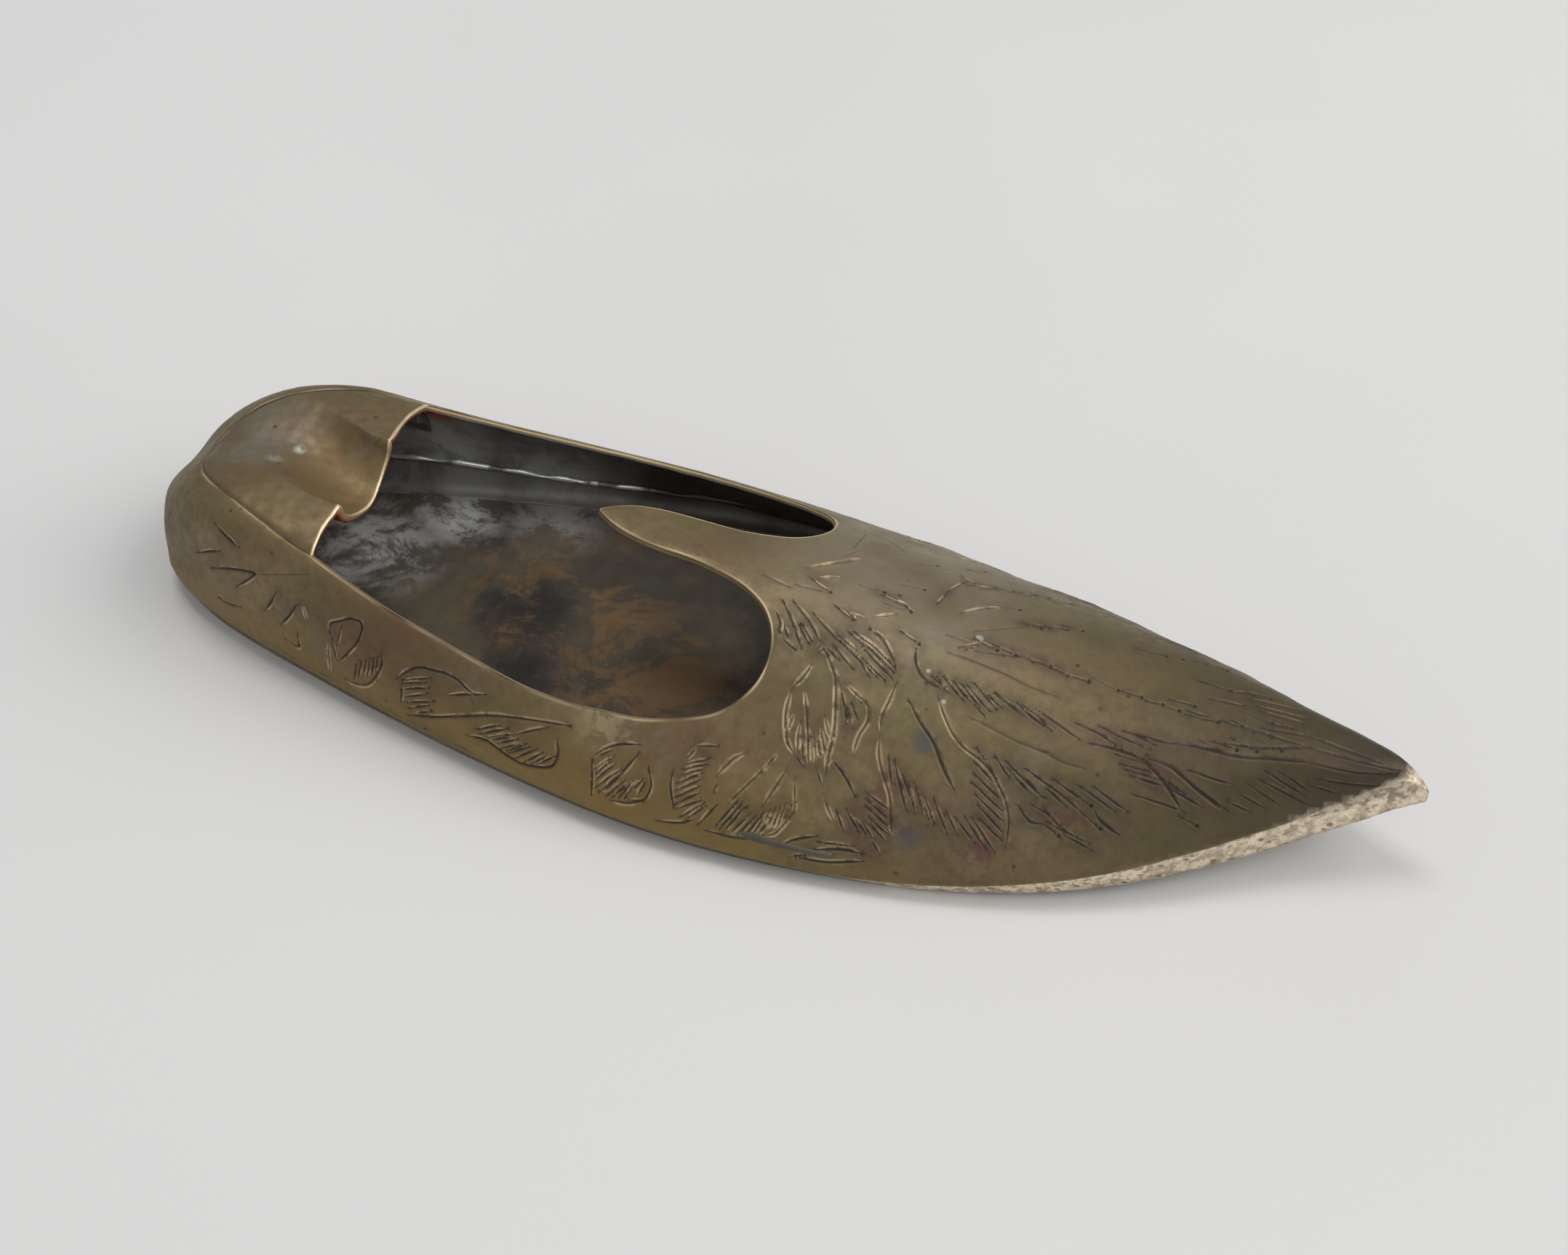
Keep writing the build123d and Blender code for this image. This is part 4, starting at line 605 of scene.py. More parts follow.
def build_heel():
    NXh, NY = 96, 121
    xs_ = 8.02 + (28.6 - 8.02) * np.linspace(0, 1, NXh) ** 0.85
    hx = np.array([p[0] for p in hh])[::-1]; hy = np.array([p[1] for p in hh])[::-1]
    o = np.argsort(hx); hw = np.interp(xs_, hx[o], hy[o]); hw = np.maximum(hw, 0.15)
    v = np.linspace(-1, 1, NY)
    Xg = np.repeat(xs_, NY); Yg = (hw[:, None] * v[None]).reshape(-1)
    Z0 = dome_z(Xg, Yg)
    P = np.stack([Xg, Yg, Z0], 1)
    q = (28.6 - Xg)
    y0 = -1.45 + 3.4 * smooth(0, 14, q)
    dp = np.interp(q, [0, 2, 4.5, 8, 12, 16, 19.5], [4.95, 4.6, 3.5, 2.1, 1.15, 0.5, 0.0])
    hwg = np.interp(q, [0, 4, 10, 18], [5.75, 6.1, 6.5, 6.2]); pw = np.interp(q, [0, 3, 8, 14], [0.55, 0.75, 1.25, 1.7])
    g = np.clip(1 - ((Yg - y0) / hwg) ** 2, 0, 1) ** pw
    # soften the upper edge of the groove
    Zt = Z0 - dp * g
    edge = hw[:, None] * (1 - np.abs(v[None])); edge = edge.reshape(-1)
    rear = Xg - 8.0
    dc = np.minimum(edge, rear * 0.8)
    seam = np.exp(-((dc - 0.15) / 0.34) ** 2)
    Zt = Zt - 0.18 * seam * smooth(0.0, 1.2, q + 0.4) - 0.05 + 0.05 * noise3(P, 6.5, 2) + 0.02 * noise3(P, 2.0, 3)
    fe = 1 - smooth(0.0, 0.52, q)
    Zt = Zt - 0.12 * fe ** 2
    top = np.stack([Xg + 0.15 * noise3(P, 5.0, 6) * smooth(2.5, 0, q), Yg, Zt], 1)
    G = top.reshape(NXh, NY, 3)
    N = np.cross(np.gradient(G, axis=0), np.gradient(G, axis=1)); N /= np.linalg.norm(N, axis=-1, keepdims=True) + 1e-12
    if N[NXh // 2, 10, 2] < 0:
        N = -N
    th = np.repeat(np.interp(28.6 - xs_, [0, 2.5], [0.95, 1.3])[:, None], NY, 1)
    bot = (G - N * th[..., None])
    bot[..., 0] = np.minimum(bot[..., 0], G[..., 0]); bot = bot.reshape(-1, 3)
    nb = NXh * NY
    V = np.concatenate([top, bot])
    F = [f for f in grid_faces(NXh, NY)] + [tuple(nb + k for k in f[::-1]) for f in grid_faces(NXh, NY)]
    # front edge: a rounded band with two rows between the skins
    a = [(NXh - 1) * NY + j for j in range(NY)]; b = [nb + k for k in a]
    m1 = V[a] * 0.7 + V[b] * 0.3; m2 = V[a] * 0.3 + V[b] * 0.7; m1[:, 0] += 0.04; m2[:, 0] += 0.03
    i1 = len(V); i2 = i1 + NY; V = np.concatenate([V, m1, m2]); r1 = list(range(i1, i1 + NY)); r2 = list(range(i2, i2 + NY))
    for p_, q_ in ((a, r1), (r1, r2), (r2, b)):
        for j in range(NY - 1):
            F.append((p_[j], p_[j + 1], q_[j + 1], q_[j]))
    for j in range(NXh - 1):   # the two long sides
        for e in (0, NY - 1):
            p0, p1 = j * NY + e, (j + 1) * NY + e
            F.append((p0, p1, nb + p1, nb + p0) if e == 0 else (p1, p0, nb + p0, nb + p1))
    for j in range(NY - 1):
        F.append((j + 1, j, nb + j, nb + j + 1))
    n = len(V); at = {k: np.zeros(n) for k in ("cut", "burr_and_highlight", "wear_and_highlight", "soot", "low", "copper", "scoop", "halo", "ground")}
    at["cut"][:nb] = 0.50 * seam * smooth(0.4, 3.0, q)
    # the heel rest's front edge: worn metal with a painted highlight line
    at["wear_and_highlight"][:nb] = np.clip(fe * (1.15 + 0.3 * noise3(P, 3, 5)), 0, 1)
    at["wear_and_highlight"][r1] = 1.0; at["wear_and_highlight"][r2] = 0.4
    at["copper"][r2] = 0.8; at["copper"][r1] = 0.12
    bq = np.concatenate([q, q])[nb:2 * nb]; at["copper"][nb:2 * nb] = 1 - smooth(0.2, 3.2, bq); at["soot"][nb:2 * nb] = smooth(0.6, 3.5, bq)
    at["scoop"][:nb] = g * smooth(0, 3, dp)
    ob = make("heel_rest_body", V, F, at)
    me = ob.data
    import bmesh
    bm = bmesh.new(); bm.from_mesh(me); bmesh.ops.recalc_face_normals(bm, faces=bm.faces); bm.to_mesh(me); bm.free()
    return ob


heel = build_heel()
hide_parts("heel_rest"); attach(heel, "root")


# ------------------------------------------------------------------ solder fillet round the floor
def build_fillet():
    s_ = np.concatenate([np.linspace(float(s_of_x(3.0)), 10, 12), np.linspace(10, float(s_of_x(93)), 190)[1:]])
    # inner face of the wall at its widest line
    tau = np.ones_like(s_) * 1.0
    Pw = lerp_tab(TAB, s_, tau); Nw = lerp_tab(NRM, s_, tau)
    x = Pw[:, 0] - Nw[:, 0] * WALL; y = Pw[:, 1] - Nw[:, 1] * WALL
    path = np.concatenate([np.stack([x, -y], 1)[::-1], np.stack([x, y], 1)])
    d = np.gradient(path, axis=0); nrm = np.stack([d[:, 1], -d[:, 0]], 1); nrm /= np.linalg.norm(nrm, axis=1, keepdims=True)
    c = np.array([50.0, 0]); k = len(path) // 2
    if np.dot(nrm[-20], c - path[-20]) < 0:
        nrm = -nrm
    leg = 2.2; m = 12; rows = []
    for i, p in enumerate(path):
        row = []
        P3 = np.array([[p[0], p[1], 2.0]])
        lg = leg * (1 + 0.05 * float(noise3(P3, 14, 2)[0])); lz = lg + 2.0 * float(1 - smooth(25.0, 50.0, p[0]))
        lz = min(lz, 4.3)
        # follow the wall, which leans in above the widest line
        for q in np.linspace(0, math.pi / 2, m):
            dx = lg * (1 - math.sin(q)); dz = lz * (1 - math.cos(q)); lean = 0.10 * dz
            row.append((p[0] + nrm[i, 0] * (dx + lean), p[1] + nrm[i, 1] * (dx + lean), SOLE_T + 0.02 + dz))
        br = 0.29 * (1 + 0.25 * float(noise3(P3, 3.5, 4)[0])) * float(smooth(92, 84, p[0])) + 0.02
        for q in np.linspace(-1.2, math.pi / 2, 8)[1:]:
            row.append((p[0] + nrm[i, 0] * (0.10 * lz + br * math.cos(q)), p[1] + nrm[i, 1] * (0.10 * lz + br * math.cos(q)), SOLE_T + lz + br * (0.9 + math.sin(q))))
        lg = lz
        row.append((p[0] - nrm[i, 0] * 0.12, p[1] - nrm[i, 1] * 0.12, SOLE_T + lg)); row.append((p[0] - nrm[i, 0] * 0.12, p[1] - nrm[i, 1] * 0.12, SOLE_T - 0.1))
        row.append((p[0] + nrm[i, 0] * leg, p[1] + nrm[i, 1] * leg, SOLE_T - 0.1))
        rows.append(row)
    P = np.array(rows); n, mm, _ = P.shape; V = P.reshape(-1, 3)
    V[:, 2] += 0.04 * noise3(V, 5.0, 7) * (V[:, 2] > SOLE_T)
    F = grid_faces(n, mm, 0, True); F.append(tuple(range(mm))); F.append(tuple(range((n - 1) * mm, n * mm))[::-1])
    bd = np.zeros((n, mm)); bd[:, m:m + 7] = 1.0
    ob = make("floor_fillet", V, F, {"bead": bd.reshape(-1)})
    import bmesh
    bm = bmesh.new(); bm.from_mesh(ob.data); bmesh.ops.recalc_face_normals(bm, faces=bm.faces); bm.to_mesh(ob.data); bm.free()
    return ob


fillet = build_fillet()
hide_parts("sole_solder_fillet"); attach(fillet, "root")


# ------------------------------------------------------------------ materials
def newmat(name):
    m = bpy.data.materials.new(name); m.use_nodes = True; nt = m.node_tree; nt.nodes.clear()
    out = nt.nodes.new("ShaderNodeOutputMaterial"); b = nt.nodes.new("ShaderNodeBsdfPrincipled")
    nt.links.new(b.outputs[0], out.inputs[0]); return m, nt, b


class G:
    def __init__(self, nt):
        self.nt = nt; self.tc = nt.nodes.new("ShaderNodeTexCoord")

    def n(self, t, **kw):
        x = self.nt.nodes.new(t)
        for k, v in kw.items(): setattr(x, k, v)
        return x

    def l(self, a, b): self.nt.links.new(a, b)

    def attr(self, name):
        a = self.n("ShaderNodeAttribute", attribute_name=name); return a.outputs["Fac"]

    def noise(self, scale, detail=4, rough=0.55, dist=0.0, off=(0, 0, 0), stretch=(1, 1, 1)):
        mp = self.n("ShaderNodeMapping"); mp.inputs["Location"].default_value = off; mp.inputs["Scale"].default_value = stretch
        self.l(self.tc.outputs["Object"], mp.inputs["Vector"])
        x = self.n("ShaderNodeTexNoise"); x.inputs["Scale"].default_value = scale; x.inputs["Detail"].default_value = detail
        x.inputs["Roughness"].default_value = rough; x.inputs["Distortion"].default_value = dist
        self.l(mp.outputs[0], x.inputs["Vector"]); return x.outputs["Fac"]

    def voro(self, scale, feature="F1", off=(0, 0, 0)):
        mp = self.n("ShaderNodeMapping"); mp.inputs["Location"].default_value = off
        self.l(self.tc.outputs["Object"], mp.inputs["Vector"])
        x = self.n("ShaderNodeTexVoronoi", feature=feature); x.inputs["Scale"].default_value = scale
        self.l(mp.outputs[0], x.inputs["Vector"]); return x.outputs["Distance"]

    def ramp(self, src, a, b, va=0.0, vb=1.0):
        x = self.n("ShaderNodeMapRange", interpolation_type="SMOOTHSTEP"); x.inputs["From Min"].default_value = a; x.inputs["From Max"].default_value = b
        x.inputs["To Min"].default_value = va; x.inputs["To Max"].default_value = vb
        self.l(src, x.inputs["Value"]); return x.outputs["Result"]

    def math(self, op, a, b=None, c=None):
        x = self.n("ShaderNodeMath", operation=op)
        for i, v in enumerate((a, b, c)):
            if v is None: continue
            if isinstance(v, (int, float)): x.inputs[i].default_value = v
            else: self.l(v, x.inputs[i])
        return x.outputs[0]

    def mix(self, f, a, b, mode="MIX"):
        x = self.n("ShaderNodeMix", data_type="RGBA", blend_type=mode)
        if isinstance(f, (int, float)): x.inputs["Factor"].default_value = f
        else: self.l(f, x.inputs["Factor"])
        for s_, v in ((x.inputs[6], a), (x.inputs[7], b)):
            if isinstance(v, tuple): s_.default_value = (*v, 1)
            else: self.l(v, s_)
        return x.outputs[2]

    def bump(self, h, strength, dist, prev=None):
        x = self.n("ShaderNodeBump"); x.inputs["Strength"].default_value = strength; x.inputs["Distance"].default_value = dist
        self.l(h, x.inputs["Height"])
        if prev is not None: self.l(prev, x.inputs["Normal"])
        return x.outputs[0]

    def spot(self, c, r, soft=0.5):
        """1 near the point c (mm from the heel), fading over r mm"""
        g = self.n("ShaderNodeVectorMath", operation="DISTANCE"); self.l(self.tc.outputs["Object"], g.inputs[0])
        g.inputs[1].default_value = ((c[0] - MID) / 1000, c[1] / 1000, c[2] / 1000)
        return self.ramp(g.outputs["Value"], r / 1000, r * (1 - soft) / 1000)


def brass(name):
    m, nt, b = newmat(name); g = G(nt)
    big = g.noise(38, 3, 0.55, 0.4); mid = g.noise(140, 4, 0.6, 0.3, (3, 1, 2)); fine = g.noise(900, 3, 0.6, 0, (1, 7, 2)); grain = g.noise(3200, 2, 0.6)
    col = g.mix(g.ramp(big, 0.36, 0.64), (0.165, 0.112, 0.054), (0.232, 0.166, 0.080))
    col = g.mix(g.ramp(mid, 0.42, 0.68, 0, 0.55), col, (0.150, 0.118, 0.056))
    # red-brown bloom, grey film, olive
    col = g.mix(g.ramp(g.noise(65, 3, 0.6, 0.6, (9, 2, 5)), 0.52, 0.70, 0, 0.55), col, (0.165, 0.085, 0.045))
    col = g.mix(g.ramp(g.noise(80, 4, 0.6, 0.8, (2, 8, 1)), 0.56, 0.72, 0, 0.55), col, (0.205, 0.180, 0.145))
    col = g.mix(g.ramp(g.noise(48, 3, 0.6, 0.5, (5, 1, 6)), 0.50, 0.68, 0, 0.45), col, (0.150, 0.130, 0.045))
    col = g.mix(g.ramp(fine, 0.35, 0.7, 0, 0.30), col, (0.085, 0.062, 0.034))
    # the toe is darker and greener toward its tip, the heel's crown carries a grey film
    tipm = g.n("ShaderNodeSeparateXYZ"); g.l(g.tc.outputs["Object"], tipm.inputs[0])
    col = g.mix(g.ramp(tipm.outputs[0], 0.018, 0.070, 0, 0.78), col, (0.066, 0.051, 0.025))
    col = g.mix(g.ramp(tipm.outputs[0], 0.052, 0.072, 0, 0.6), col, (0.042, 0.034, 0.020))
    # a lighter greyish patch over the vamp's crown: partly a greyish film, partly a painted soft sheen
    col = g.mix(g.math("MULTIPLY", g.spot((92, 7, 17), 24, 0.9), g.ramp(g.noise(60, 3, 0.6, 0.4, (6, 2, 5)), 0.34, 0.6, 0.25, 0.55)), col, (0.37, 0.315, 0.225))
    # painted shade: darker patch on the heel end's near lower side
    col = g.mix(g.math("MULTIPLY", g.spot((5, -13, 8), 13, 0.9), 0.5), col, (0.060, 0.048, 0.028))
    film = g.math("MULTIPLY", g.spot((13.8, 2.2, 17.9), 9, 0.9), g.ramp(g.noise(150, 4, 0.65, 0.5, (1, 7, 7)), 0.38, 0.62, 0.3, 0.9))
    col = g.mix(g.math("MULTIPLY", film, 0.85), col, (0.205, 0.198, 0.178))
    br = g.math("MULTIPLY", g.math("MAXIMUM", g.spot((8.4, -0.2, 15.9), 4.5, 0.9), g.spot((23.4, 6.5, 18.8), 3.6, 0.8)), g.ramp(g.noise(260, 4, 0.65, 0.5, (1, 2, 7)), 0.36, 0.6))
    col = g.mix(g.math("MULTIPLY", br, 0.55), col, (0.135, 0.070, 0.048))
    wp = g.math("MULTIPLY", g.spot((66, -21.1, 10.5), 5.5, 0.9), g.ramp(g.noise(420, 4, 0.7, 0.3, (3, 2, 7)), 0.44, 0.58))
    col = g.mix(g.math("MULTIPLY", wp, 0.6), col, (0.40, 0.32, 0.19))
    # dirt held between the cuts
    hal = g.math("MULTIPLY", g.attr("halo"), g.ramp(g.noise(240, 4, 0.65, 0.3, (7, 2, 2)), 0.36, 0.62, 0.25, 0.9))
    col = g.mix(g.math("MULTIPLY", hal, 0.68), col, g.mix(g.ramp(g.noise(90, 2, 0.5, 0, (2, 2, 2)), 0.45, 0.6), (0.070, 0.052, 0.026), (0.085, 0.044, 0.036)))
    # cold grey smudges
    smd = g.math("MAXIMUM", g.math("MAXIMUM", g.spot((30.9, -19.0, 7.3), 2.4, 0.5), g.spot((31.9, -19.6, 5.4), 2.2, 0.5)), g.math("MAXIMUM", g.spot((100.1, -21, 6.4), 2.2, 0.9), g.spot((99.1, -13.9, 13.2), 2.0, 0.9)))
    smd = g.math("MULTIPLY", smd, g.ramp(g.noise(330, 3, 0.6, 0.2, (4, 9, 2)), 0.24, 0.44))
    col = g.mix(g.math("MULTIPLY", smd, 0.80), col, (0.090, 0.089, 0.088))
    wsp = g.math("MAXIMUM", g.spot((101.3, -1.4, 17.4), 0.62, 0.5), g.math("MAXIMUM", g.spot((99.9, -9.7, 15.4), 0.35, 0.5), g.spot((97.4, -7.1, 16.6), 0.32, 0.5)))
    col = g.mix(g.math("MULTIPLY", wsp, 0.6), col, (0.50, 0.50, 0.44))
    # the low wall and skirt is greener and a little brighter
    low = g.attr("low"); col = g.mix(g.math("MULTIPLY", low, g.ramp(mid, 0.3, 0.7, 0.9, 0.55)), col, (0.228, 0.148, 0.042))
    # black specks
    sp = g.ramp(g.voro(420), 0.16, 0.05); sp = g.math("MULTIPLY", sp, g.ramp(g.noise(210, 2, 0.5, 0, (5, 5, 1)), 0.5, 0.62))
    col = g.mix(g.math("MULTIPLY", sp, 0.7), col, (0.035, 0.026, 0.018))
    # lacquer left in some leaves: purple-red near the toe's near side
    lac = g.math("MAXIMUM", g.spot((107.5, -19.5, 6.6), 8, 0.8), g.math("MAXIMUM", g.spot((96.9, -20.8, 7.2), 6, 0.8), g.spot((116.2, -15.3, 9.0), 7, 0.8)))
    lac = g.math("MULTIPLY", lac, g.ramp(g.noise(300, 4, 0.7, 0, (4, 4, 4)), 0.48, 0.62))
    col = g.mix(g.math("MULTIPLY", lac, 0.6), col, (0.115, 0.042, 0.040))
    cut = g.attr("cut"); burr_and_highlight = g.attr("burr_and_highlight"); wear_and_highlight = g.attr("wear_and_highlight"); soot = g.attr("soot")
    brk = g.ramp(g.noise(520, 3, 0.6, 0, (6, 1, 3)), 0.34, 0.60)
    cutf = g.ramp(cut, 0.08, 0.75, 0, 0.93)
    gcol = g.mix(g.ramp(g.noise(160, 2, 0.5, 0, (1, 3, 8)), 0.5, 0.66), (0.028, 0.022, 0.018), (0.060, 0.026, 0.024))
    col = g.mix(cutf, col, gcol)
    # bright burrs and worn edges: real bright metal and a painted highlight
    bri = g.math("MAXIMUM", g.math("MULTIPLY", g.math("MULTIPLY", burr_and_highlight, brk), 0.95), g.math("MULTIPLY", g.ramp(wear_and_highlight, 0.15, 0.8), 0.85))
    col = g.mix(bri, col, g.mix(g.ramp(big, 0.4, 0.6), (0.74, 0.55, 0.33), (0.62, 0.47, 0.27)))
    gr = g.attr("ground")
    col = g.mix(gr, col, g.mix(g.ramp(g.noise(900, 4, 0.7, 0.3, (2, 1, 1)), 0.42, 0.60), (0.90, 0.78, 0.60), (0.40, 0.31, 0.22)))
    # soot inside
    sc = g.mix(g.ramp(g.noise(70, 4, 0.6, 0.5, (2, 2, 7)), 0.4, 0.65), (0.050, 0.040, 0.028), (0.085, 0.066, 0.045))
    asw = g.math("MULTIPLY", g.math("MAXIMUM", g.spot((24, 13, 6), 20, 0.8), g.math("MULTIPLY", g.spot((40, 22, 5), 15, 0.9), 0.7)), g.ramp(g.noise(110, 5, 0.68, 0.6, (1, 4, 3)), 0.34, 0.60, 0.35, 1.0))
    sc = g.mix(g.math("MULTIPLY", asw, 0.95), sc, (0.40, 0.395, 0.39))
    sc = g.mix(g.math("MULTIPLY", g.math("MAXIMUM", g.spot((29.2, 14.6, 15.0), 3.4, 0.7), g.spot((29.0, -14.4, 14.5), 2.4, 0.7)), 0.85), sc, (0.34, 0.085, 0.035))
    asw = g.math("MULTIPLY", asw, soot)
    col = g.mix(soot, col, sc)
    nt.links.new(col, b.inputs["Base Color"])
    met = g.math("MULTIPLY", g.math("SUBTRACT", 1.0, cutf), g.ramp(soot, 0, 1, 0.52, 0.30)); met = g.math("MULTIPLY", met, g.math("SUBTRACT", 1.0, asw)); met = g.math("MAXIMUM", met, g.math("MULTIPLY", bri, 0.9)); nt.links.new(met, b.inputs["Metallic"])
    ro = g.ramp(mid, 0.3, 0.7, 0.42, 0.56); ro = g.math("ADD", ro, g.math("MULTIPLY", cutf, 0.3)); ro = g.math("ADD", ro, g.math("MULTIPLY", g.ramp(fine, 0.4, 0.7), 0.08))
    ro = g.math("SUBTRACT", ro, g.math("MULTIPLY", bri, 0.12)); ro = g.math("SUBTRACT", ro, g.math("MULTIPLY", soot, 0.12)); nt.links.new(ro, b.inputs["Roughness"])
    n1 = g.bump(grain, 0.25, 0.00003); n2 = g.bump(fine, 0.35, 0.00008, n1); n3 = g.bump(mid, 0.25, 0.0002, n2); nt.links.new(n3, b.inputs["Normal"])
    b.inputs["Specular IOR Level"].default_value = 0.5
    return m, nt, b, g, col


mat_b, nt, b, g, col = brass("patinated_brass_skin")
upper.data.materials.append(mat_b)

mat_h, nt, b, g, col = brass("heel_rest_brass")
cop = g.attr("copper"); sco = g.attr("scoop")
c2 = g.mix(g.math("MULTIPLY", g.ramp(sco, 0.2, 0.9), 0.30), col, (0.235, 0.145, 0.048))
verd = g.math("MULTIPLY", g.math("MAXIMUM", g.spot((18.4, 1.4, 17.0), 1.05, 0.9), g.math("MULTIPLY", g.spot((16.8, -1.9, 16.9), 1.5, 0.9), 0.6)), g.ramp(g.noise(1100, 3, 0.6), 0.34, 0.52))
c2 = g.mix(g.math("MULTIPLY", verd, 0.85), c2, (0.50, 0.58, 0.47))
c2 = g.mix(g.math("MULTIPLY", g.ramp(cop, 0.05, 0.7), g.ramp(g.noise(240, 3, 0.6, 0, (3, 3, 3)), 0.30, 0.55, 0.5, 1.0)), c2, (0.52, 0.13, 0.045))
# the heel rest's front edge painted light: worn metal and a painted highlight line
c2 = g.mix(g.math("MULTIPLY", g.ramp(g.attr("wear_and_highlight"), 0.35, 0.9), g.ramp(g.noise(330, 3, 0.6, 0, (8, 3, 1)), 0.30, 0.5, 0.55, 1.0)), c2, (0.86, 0.64, 0.40))
nt.links.new(c2, b.inputs["Base Color"])
heel.data.materials.append(mat_h)

# sole: sooty well floor, pitted ground edge, scraped underside
mat_s, nt, b = newmat("sole_brass"); g = G(nt)
fl, stp, pit, und = g.attr("floor"), g.attr("strip"), g.attr("pit"), g.attr("under")
base = g.mix(g.ramp(g.noise(120, 3, 0.6, 0.3), 0.4, 0.6), (0.165, 0.130, 0.055), (0.205, 0.155, 0.070))
grd = g.mix(g.ramp(g.noise(1000, 4, 0.65, 0.4, (2, 1, 1)), 0.42, 0.60), (0.90, 0.78, 0.60), (0.44, 0.35, 0.24))
grd = g.mix(g.ramp(g.noise(180, 3, 0.6, 0.4, (7, 1, 1)), 0.5, 0.66, 0, 0.6), grd, (0.42, 0.31, 0.22))
xs3 = g.n("ShaderNodeSeparateXYZ"); g.l(g.tc.outputs["Object"], xs3.inputs[0])
# painted highlight: the ground strip is painted lighter toward the tip, where its facet turns up
grd = g.mix(g.ramp(xs3.outputs[0], 0.045, 0.072, 0, 0.65), grd, g.mix(g.ramp(g.noise(800, 4, 0.7, 0.3, (5, 2, 1)), 0.40, 0.62), (0.93, 0.81, 0.64), (0.40, 0.31, 0.22)))
grd = g.mix(g.ramp(pit, 0.05, 0.5), grd, (0.30, 0.225, 0.155))
col = g.mix(stp, base, grd)
# floor colours
f1 = g.mix(g.ramp(g.noise(52, 4, 0.6, 0.5, (1, 1, 1)), 0.38, 0.62), (0.050, 0.040, 0.027), (0.080, 0.061, 0.036))
rust = g.math("MULTIPLY", g.ramp(g.noise(110, 6, 0.74, 0.5, (4, 2, 1)), 0.47, 0.58), g.math("MAXIMUM", g.spot((52, -2, 1.6), 22, 0.8), g.spot((66, -9, 1.6), 18, 0.8)))
f1 = g.mix(g.math("MULTIPLY", rust, 0.62), f1, (0.200, 0.100, 0.030))
dark = g.math("MULTIPLY", g.ramp(g.noise(95, 6, 0.74, 0.4, (8, 3, 1)), 0.43, 0.53), g.math("MAXIMUM", g.spot((46.5, 0, 1.6), 9.5, 0.8), g.math("MAXIMUM", g.spot((50, -9.5, 1.6), 8.5, 0.8), g.spot((37, 11, 1.6), 6, 0.8))))
f1 = g.mix(g.math("MULTIPLY", dark, 0.88), f1, (0.012, 0.010, 0.009))
ash = g.math("MULTIPLY", g.ramp(g.noise(125, 6, 0.76, 0.4, (3, 9, 1)), 0.43, 0.57, 0.15, 1.0), g.math("MAXIMUM", g.spot((24.5, 4, 1.6), 12, 0.8), g.math("MAXIMUM", g.spot((31, 14, 1.6), 10, 0.8), g.math("MULTIPLY", g.spot((43, 17, 1.6), 10, 0.9), 0.5))))
f1 = g.mix(g.math("MULTIPLY", ash, 0.85), f1, (0.46, 0.455, 0.45))
gol = g.math("MULTIPLY", g.ramp(g.noise(75, 3, 0.6, 0.3, (6, 6, 1)), 0.50, 0.70), g.spot((84, 0, 1.6), 26, 0.9))
f1 = g.mix(g.math("MULTIPLY", gol, 0.4), f1, (0.150, 0.115, 0.060))
col = g.mix(fl, col, f1)
un = g.mix(g.ramp(g.noise(60, 3, 0.6, 0.2, (1, 4, 4), (1, 6, 1)), 0.42, 0.62), (0.26, 0.20, 0.10), (0.15, 0.115, 0.06))
col = g.mix(und, col, un)
nt.links.new(col, b.inputs["Base Color"])
nt.links.new(g.math("MULTIPLY", g.math("SUBTRACT", 0.72, g.math("MULTIPLY", fl, 0.45)), g.math("SUBTRACT", 1.0, g.math("MULTIPLY", ash, fl))), b.inputs["Metallic"])
ro = g.ramp(g.noise(420, 3, 0.6), 0.3, 0.7, 0.34, 0.55); nt.links.new(g.math("ADD", ro, g.math("MULTIPLY", fl, 0.20)), b.inputs["Roughness"])
n1 = g.bump(g.noise(2600, 2, 0.6), 0.3, 0.00004); n2 = g.bump(g.noise(700, 4, 0.65), 0.5, 0.00012, n1); n3 = g.bump(g.noise(60, 2, 0.5, 0, (1, 4, 4), (1, 9, 1)), 0.15, 0.0002, n2)
nt.links.new(n3, b.inputs["Normal"])
sole.data.materials.append(mat_s)

mat_f, nt, b = newmat("sooted_solder"); g = G(nt)
c = g.mix(g.ramp(g.noise(90, 4, 0.6, 0.4), 0.4, 0.62), (0.055, 0.045, 0.034), (0.105, 0.088, 0.066))
c = g.mix(g.ramp(g.noise(210, 4, 0.65, 0.4, (4, 4, 1)), 0.52, 0.66, 0, 0.5), c, (0.115, 0.070, 0.035))
fa = g.math("MULTIPLY", g.math("MAXIMUM", g.spot((27, 15, 3), 17, 0.8), g.math("MULTIPLY", g.spot((42, 21, 3), 13, 0.9), 0.8)), g.ramp(g.noise(120, 5, 0.68, 0.5, (6, 2, 3)), 0.34, 0.58, 0.4, 1.0))
c = g.mix(g.math("MULTIPLY", fa, 0.8), c, (0.27, 0.265, 0.26))
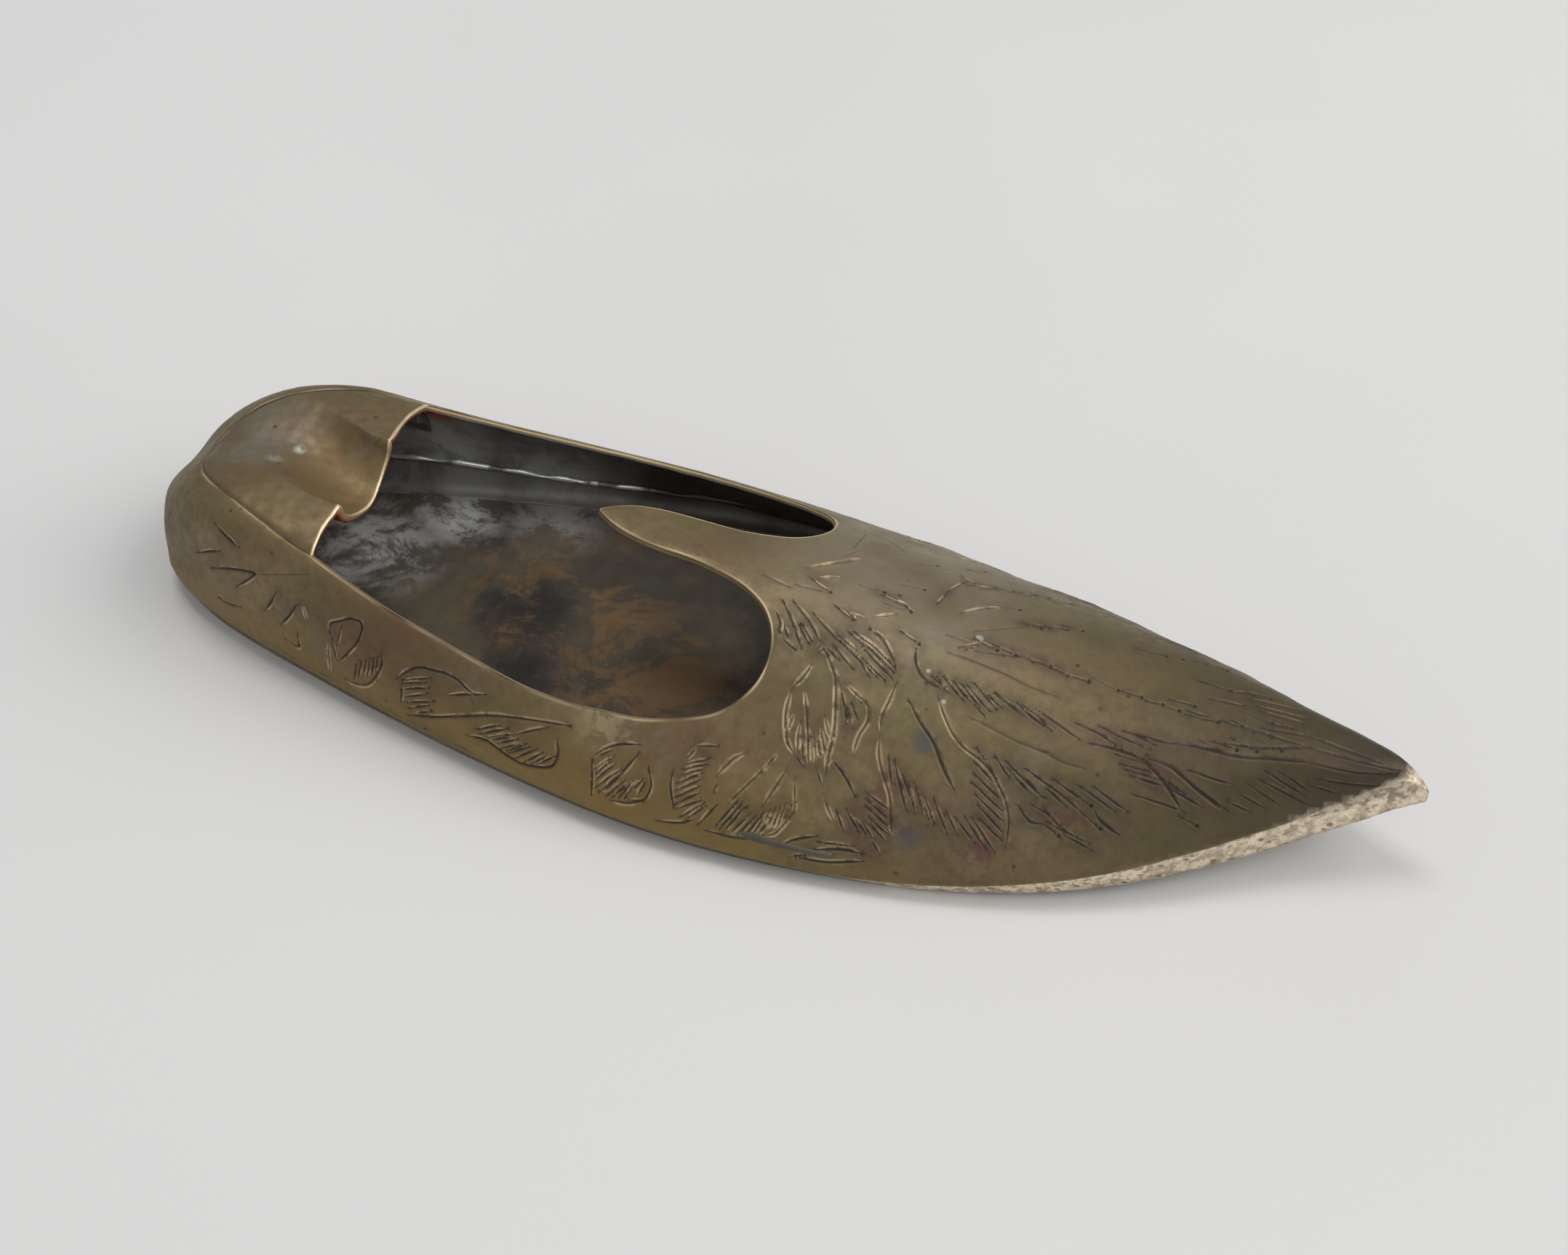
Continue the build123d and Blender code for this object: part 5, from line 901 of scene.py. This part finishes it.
# painted highlight: the bead turned near white, more metallic and smoother in two far-side patches near the heel
bead_painted_highlight = g.math("MULTIPLY", g.math("MULTIPLY", g.ramp(g.attr("bead"), 0.03, 0.45), g.ramp(g.noise(230, 4, 0.65, 0.2, (1, 8, 1)), 0.38, 0.50)), g.math("MAXIMUM", g.spot((30, 18, 5), 14, 0.4), g.spot((42, 21.5, 4), 13, 0.4)))
c = g.mix(bead_painted_highlight, c, (0.86, 0.85, 0.82))
nt.links.new(c, b.inputs["Base Color"])
nt.links.new(g.math("ADD", 0.25, g.math("MULTIPLY", bead_painted_highlight, 0.45)), b.inputs["Metallic"])
nt.links.new(g.math("SUBTRACT", g.ramp(g.noise(300, 3, 0.6), 0.3, 0.7, 0.42, 0.56), g.math("MULTIPLY", bead_painted_highlight, 0.18)), b.inputs["Roughness"])
nt.links.new(g.bump(g.noise(500, 3, 0.6), 0.2, 0.00006), b.inputs["Normal"])
fillet.data.materials.append(mat_f)
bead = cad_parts["heel_solder_fillet"]
for sl in bead.material_slots:
    sl.material = mat_f
if not bead.material_slots:
    bead.data.materials.append(mat_f)

# ------------------------------------------------------------------ floor, light, camera
me = bpy.data.meshes.new("table"); L_ = 3.0
me.from_pydata([(-L_, -L_, 0), (L_, -L_, 0), (L_, L_, 0), (-L_, L_, 0)], [], [(0, 1, 2, 3)]); floor = bpy.data.objects.new("table", me)
floor.location = (0, 0, -0.0001)
bpy.context.scene.collection.objects.link(floor)
mt, nt, b = newmat("pale_floor"); g = G(nt)
c = g.mix(g.ramp(g.noise(6, 3, 0.5), 0.35, 0.65), (0.735, 0.72, 0.71), (0.76, 0.745, 0.735)); nt.links.new(c, b.inputs["Base Color"]); b.inputs["Roughness"].default_value = 0.9
b.inputs["Specular IOR Level"].default_value = 0.2
floor.data.materials.append(mt)

wd = bpy.data.worlds.new("soft"); bpy.context.scene.world = wd; wd.use_nodes = True
bg = wd.node_tree.nodes["Background"]; bg.inputs[0].default_value = (0.93, 0.97, 1.0, 1); bg.inputs[1].default_value = 0.36


def area(name, loc, at, size, power, colr, size_y=None):
    d = bpy.data.lights.new(name, "AREA"); d.energy = power; d.color = colr; d.size = size
    if size_y: d.shape = "RECTANGLE"; d.size_y = size_y
    o = bpy.data.objects.new(name, d); o.location = loc
    o.rotation_mode = "QUATERNION"; o.rotation_quaternion = (Vector(at) - Vector(loc)).to_track_quat("-Z", "Y")
    bpy.context.scene.collection.objects.link(o); return o


area("window", (0.95, 0.25, 0.80), (0, 0, 0), 1.3, 10.9, (1.0, 0.99, 0.97))
area("top", (-0.19, 0.13, 0.85), (0, 0, 0), 0.30, 1.9, (1.0, 1.0, 1.0))
area("fill", (0.1, -0.9, 0.9), (0, 0, 0), 0.8, 1.5, (0.95, 0.97, 1.0))

cam_d = bpy.data.cameras.new("camera"); cam_d.sensor_width = 36; cam_d.lens = 44.699; cam_d.clip_start = 0.01; cam_d.clip_end = 50
cam = bpy.data.objects.new("camera", cam_d); bpy.context.scene.collection.objects.link(cam); bpy.context.scene.camera = cam
RX, DN, FW = Vector((0.944214, 0.328481, 0.023684)), Vector((0.248214, -0.662534, -0.706710)), Vector((-0.216450, 0.673164, -0.707107))
Mx = Matrix(((RX.x, -DN.x, -FW.x, 0.05022), (RX.y, -DN.y, -FW.y, -0.14698), (RX.z, -DN.z, -FW.z, 0.16434), (0, 0, 0, 1)))
cam.matrix_world = Mx
sc = bpy.context.scene
sc.view_settings.view_transform = "Standard"
sc.view_settings.look = "None"
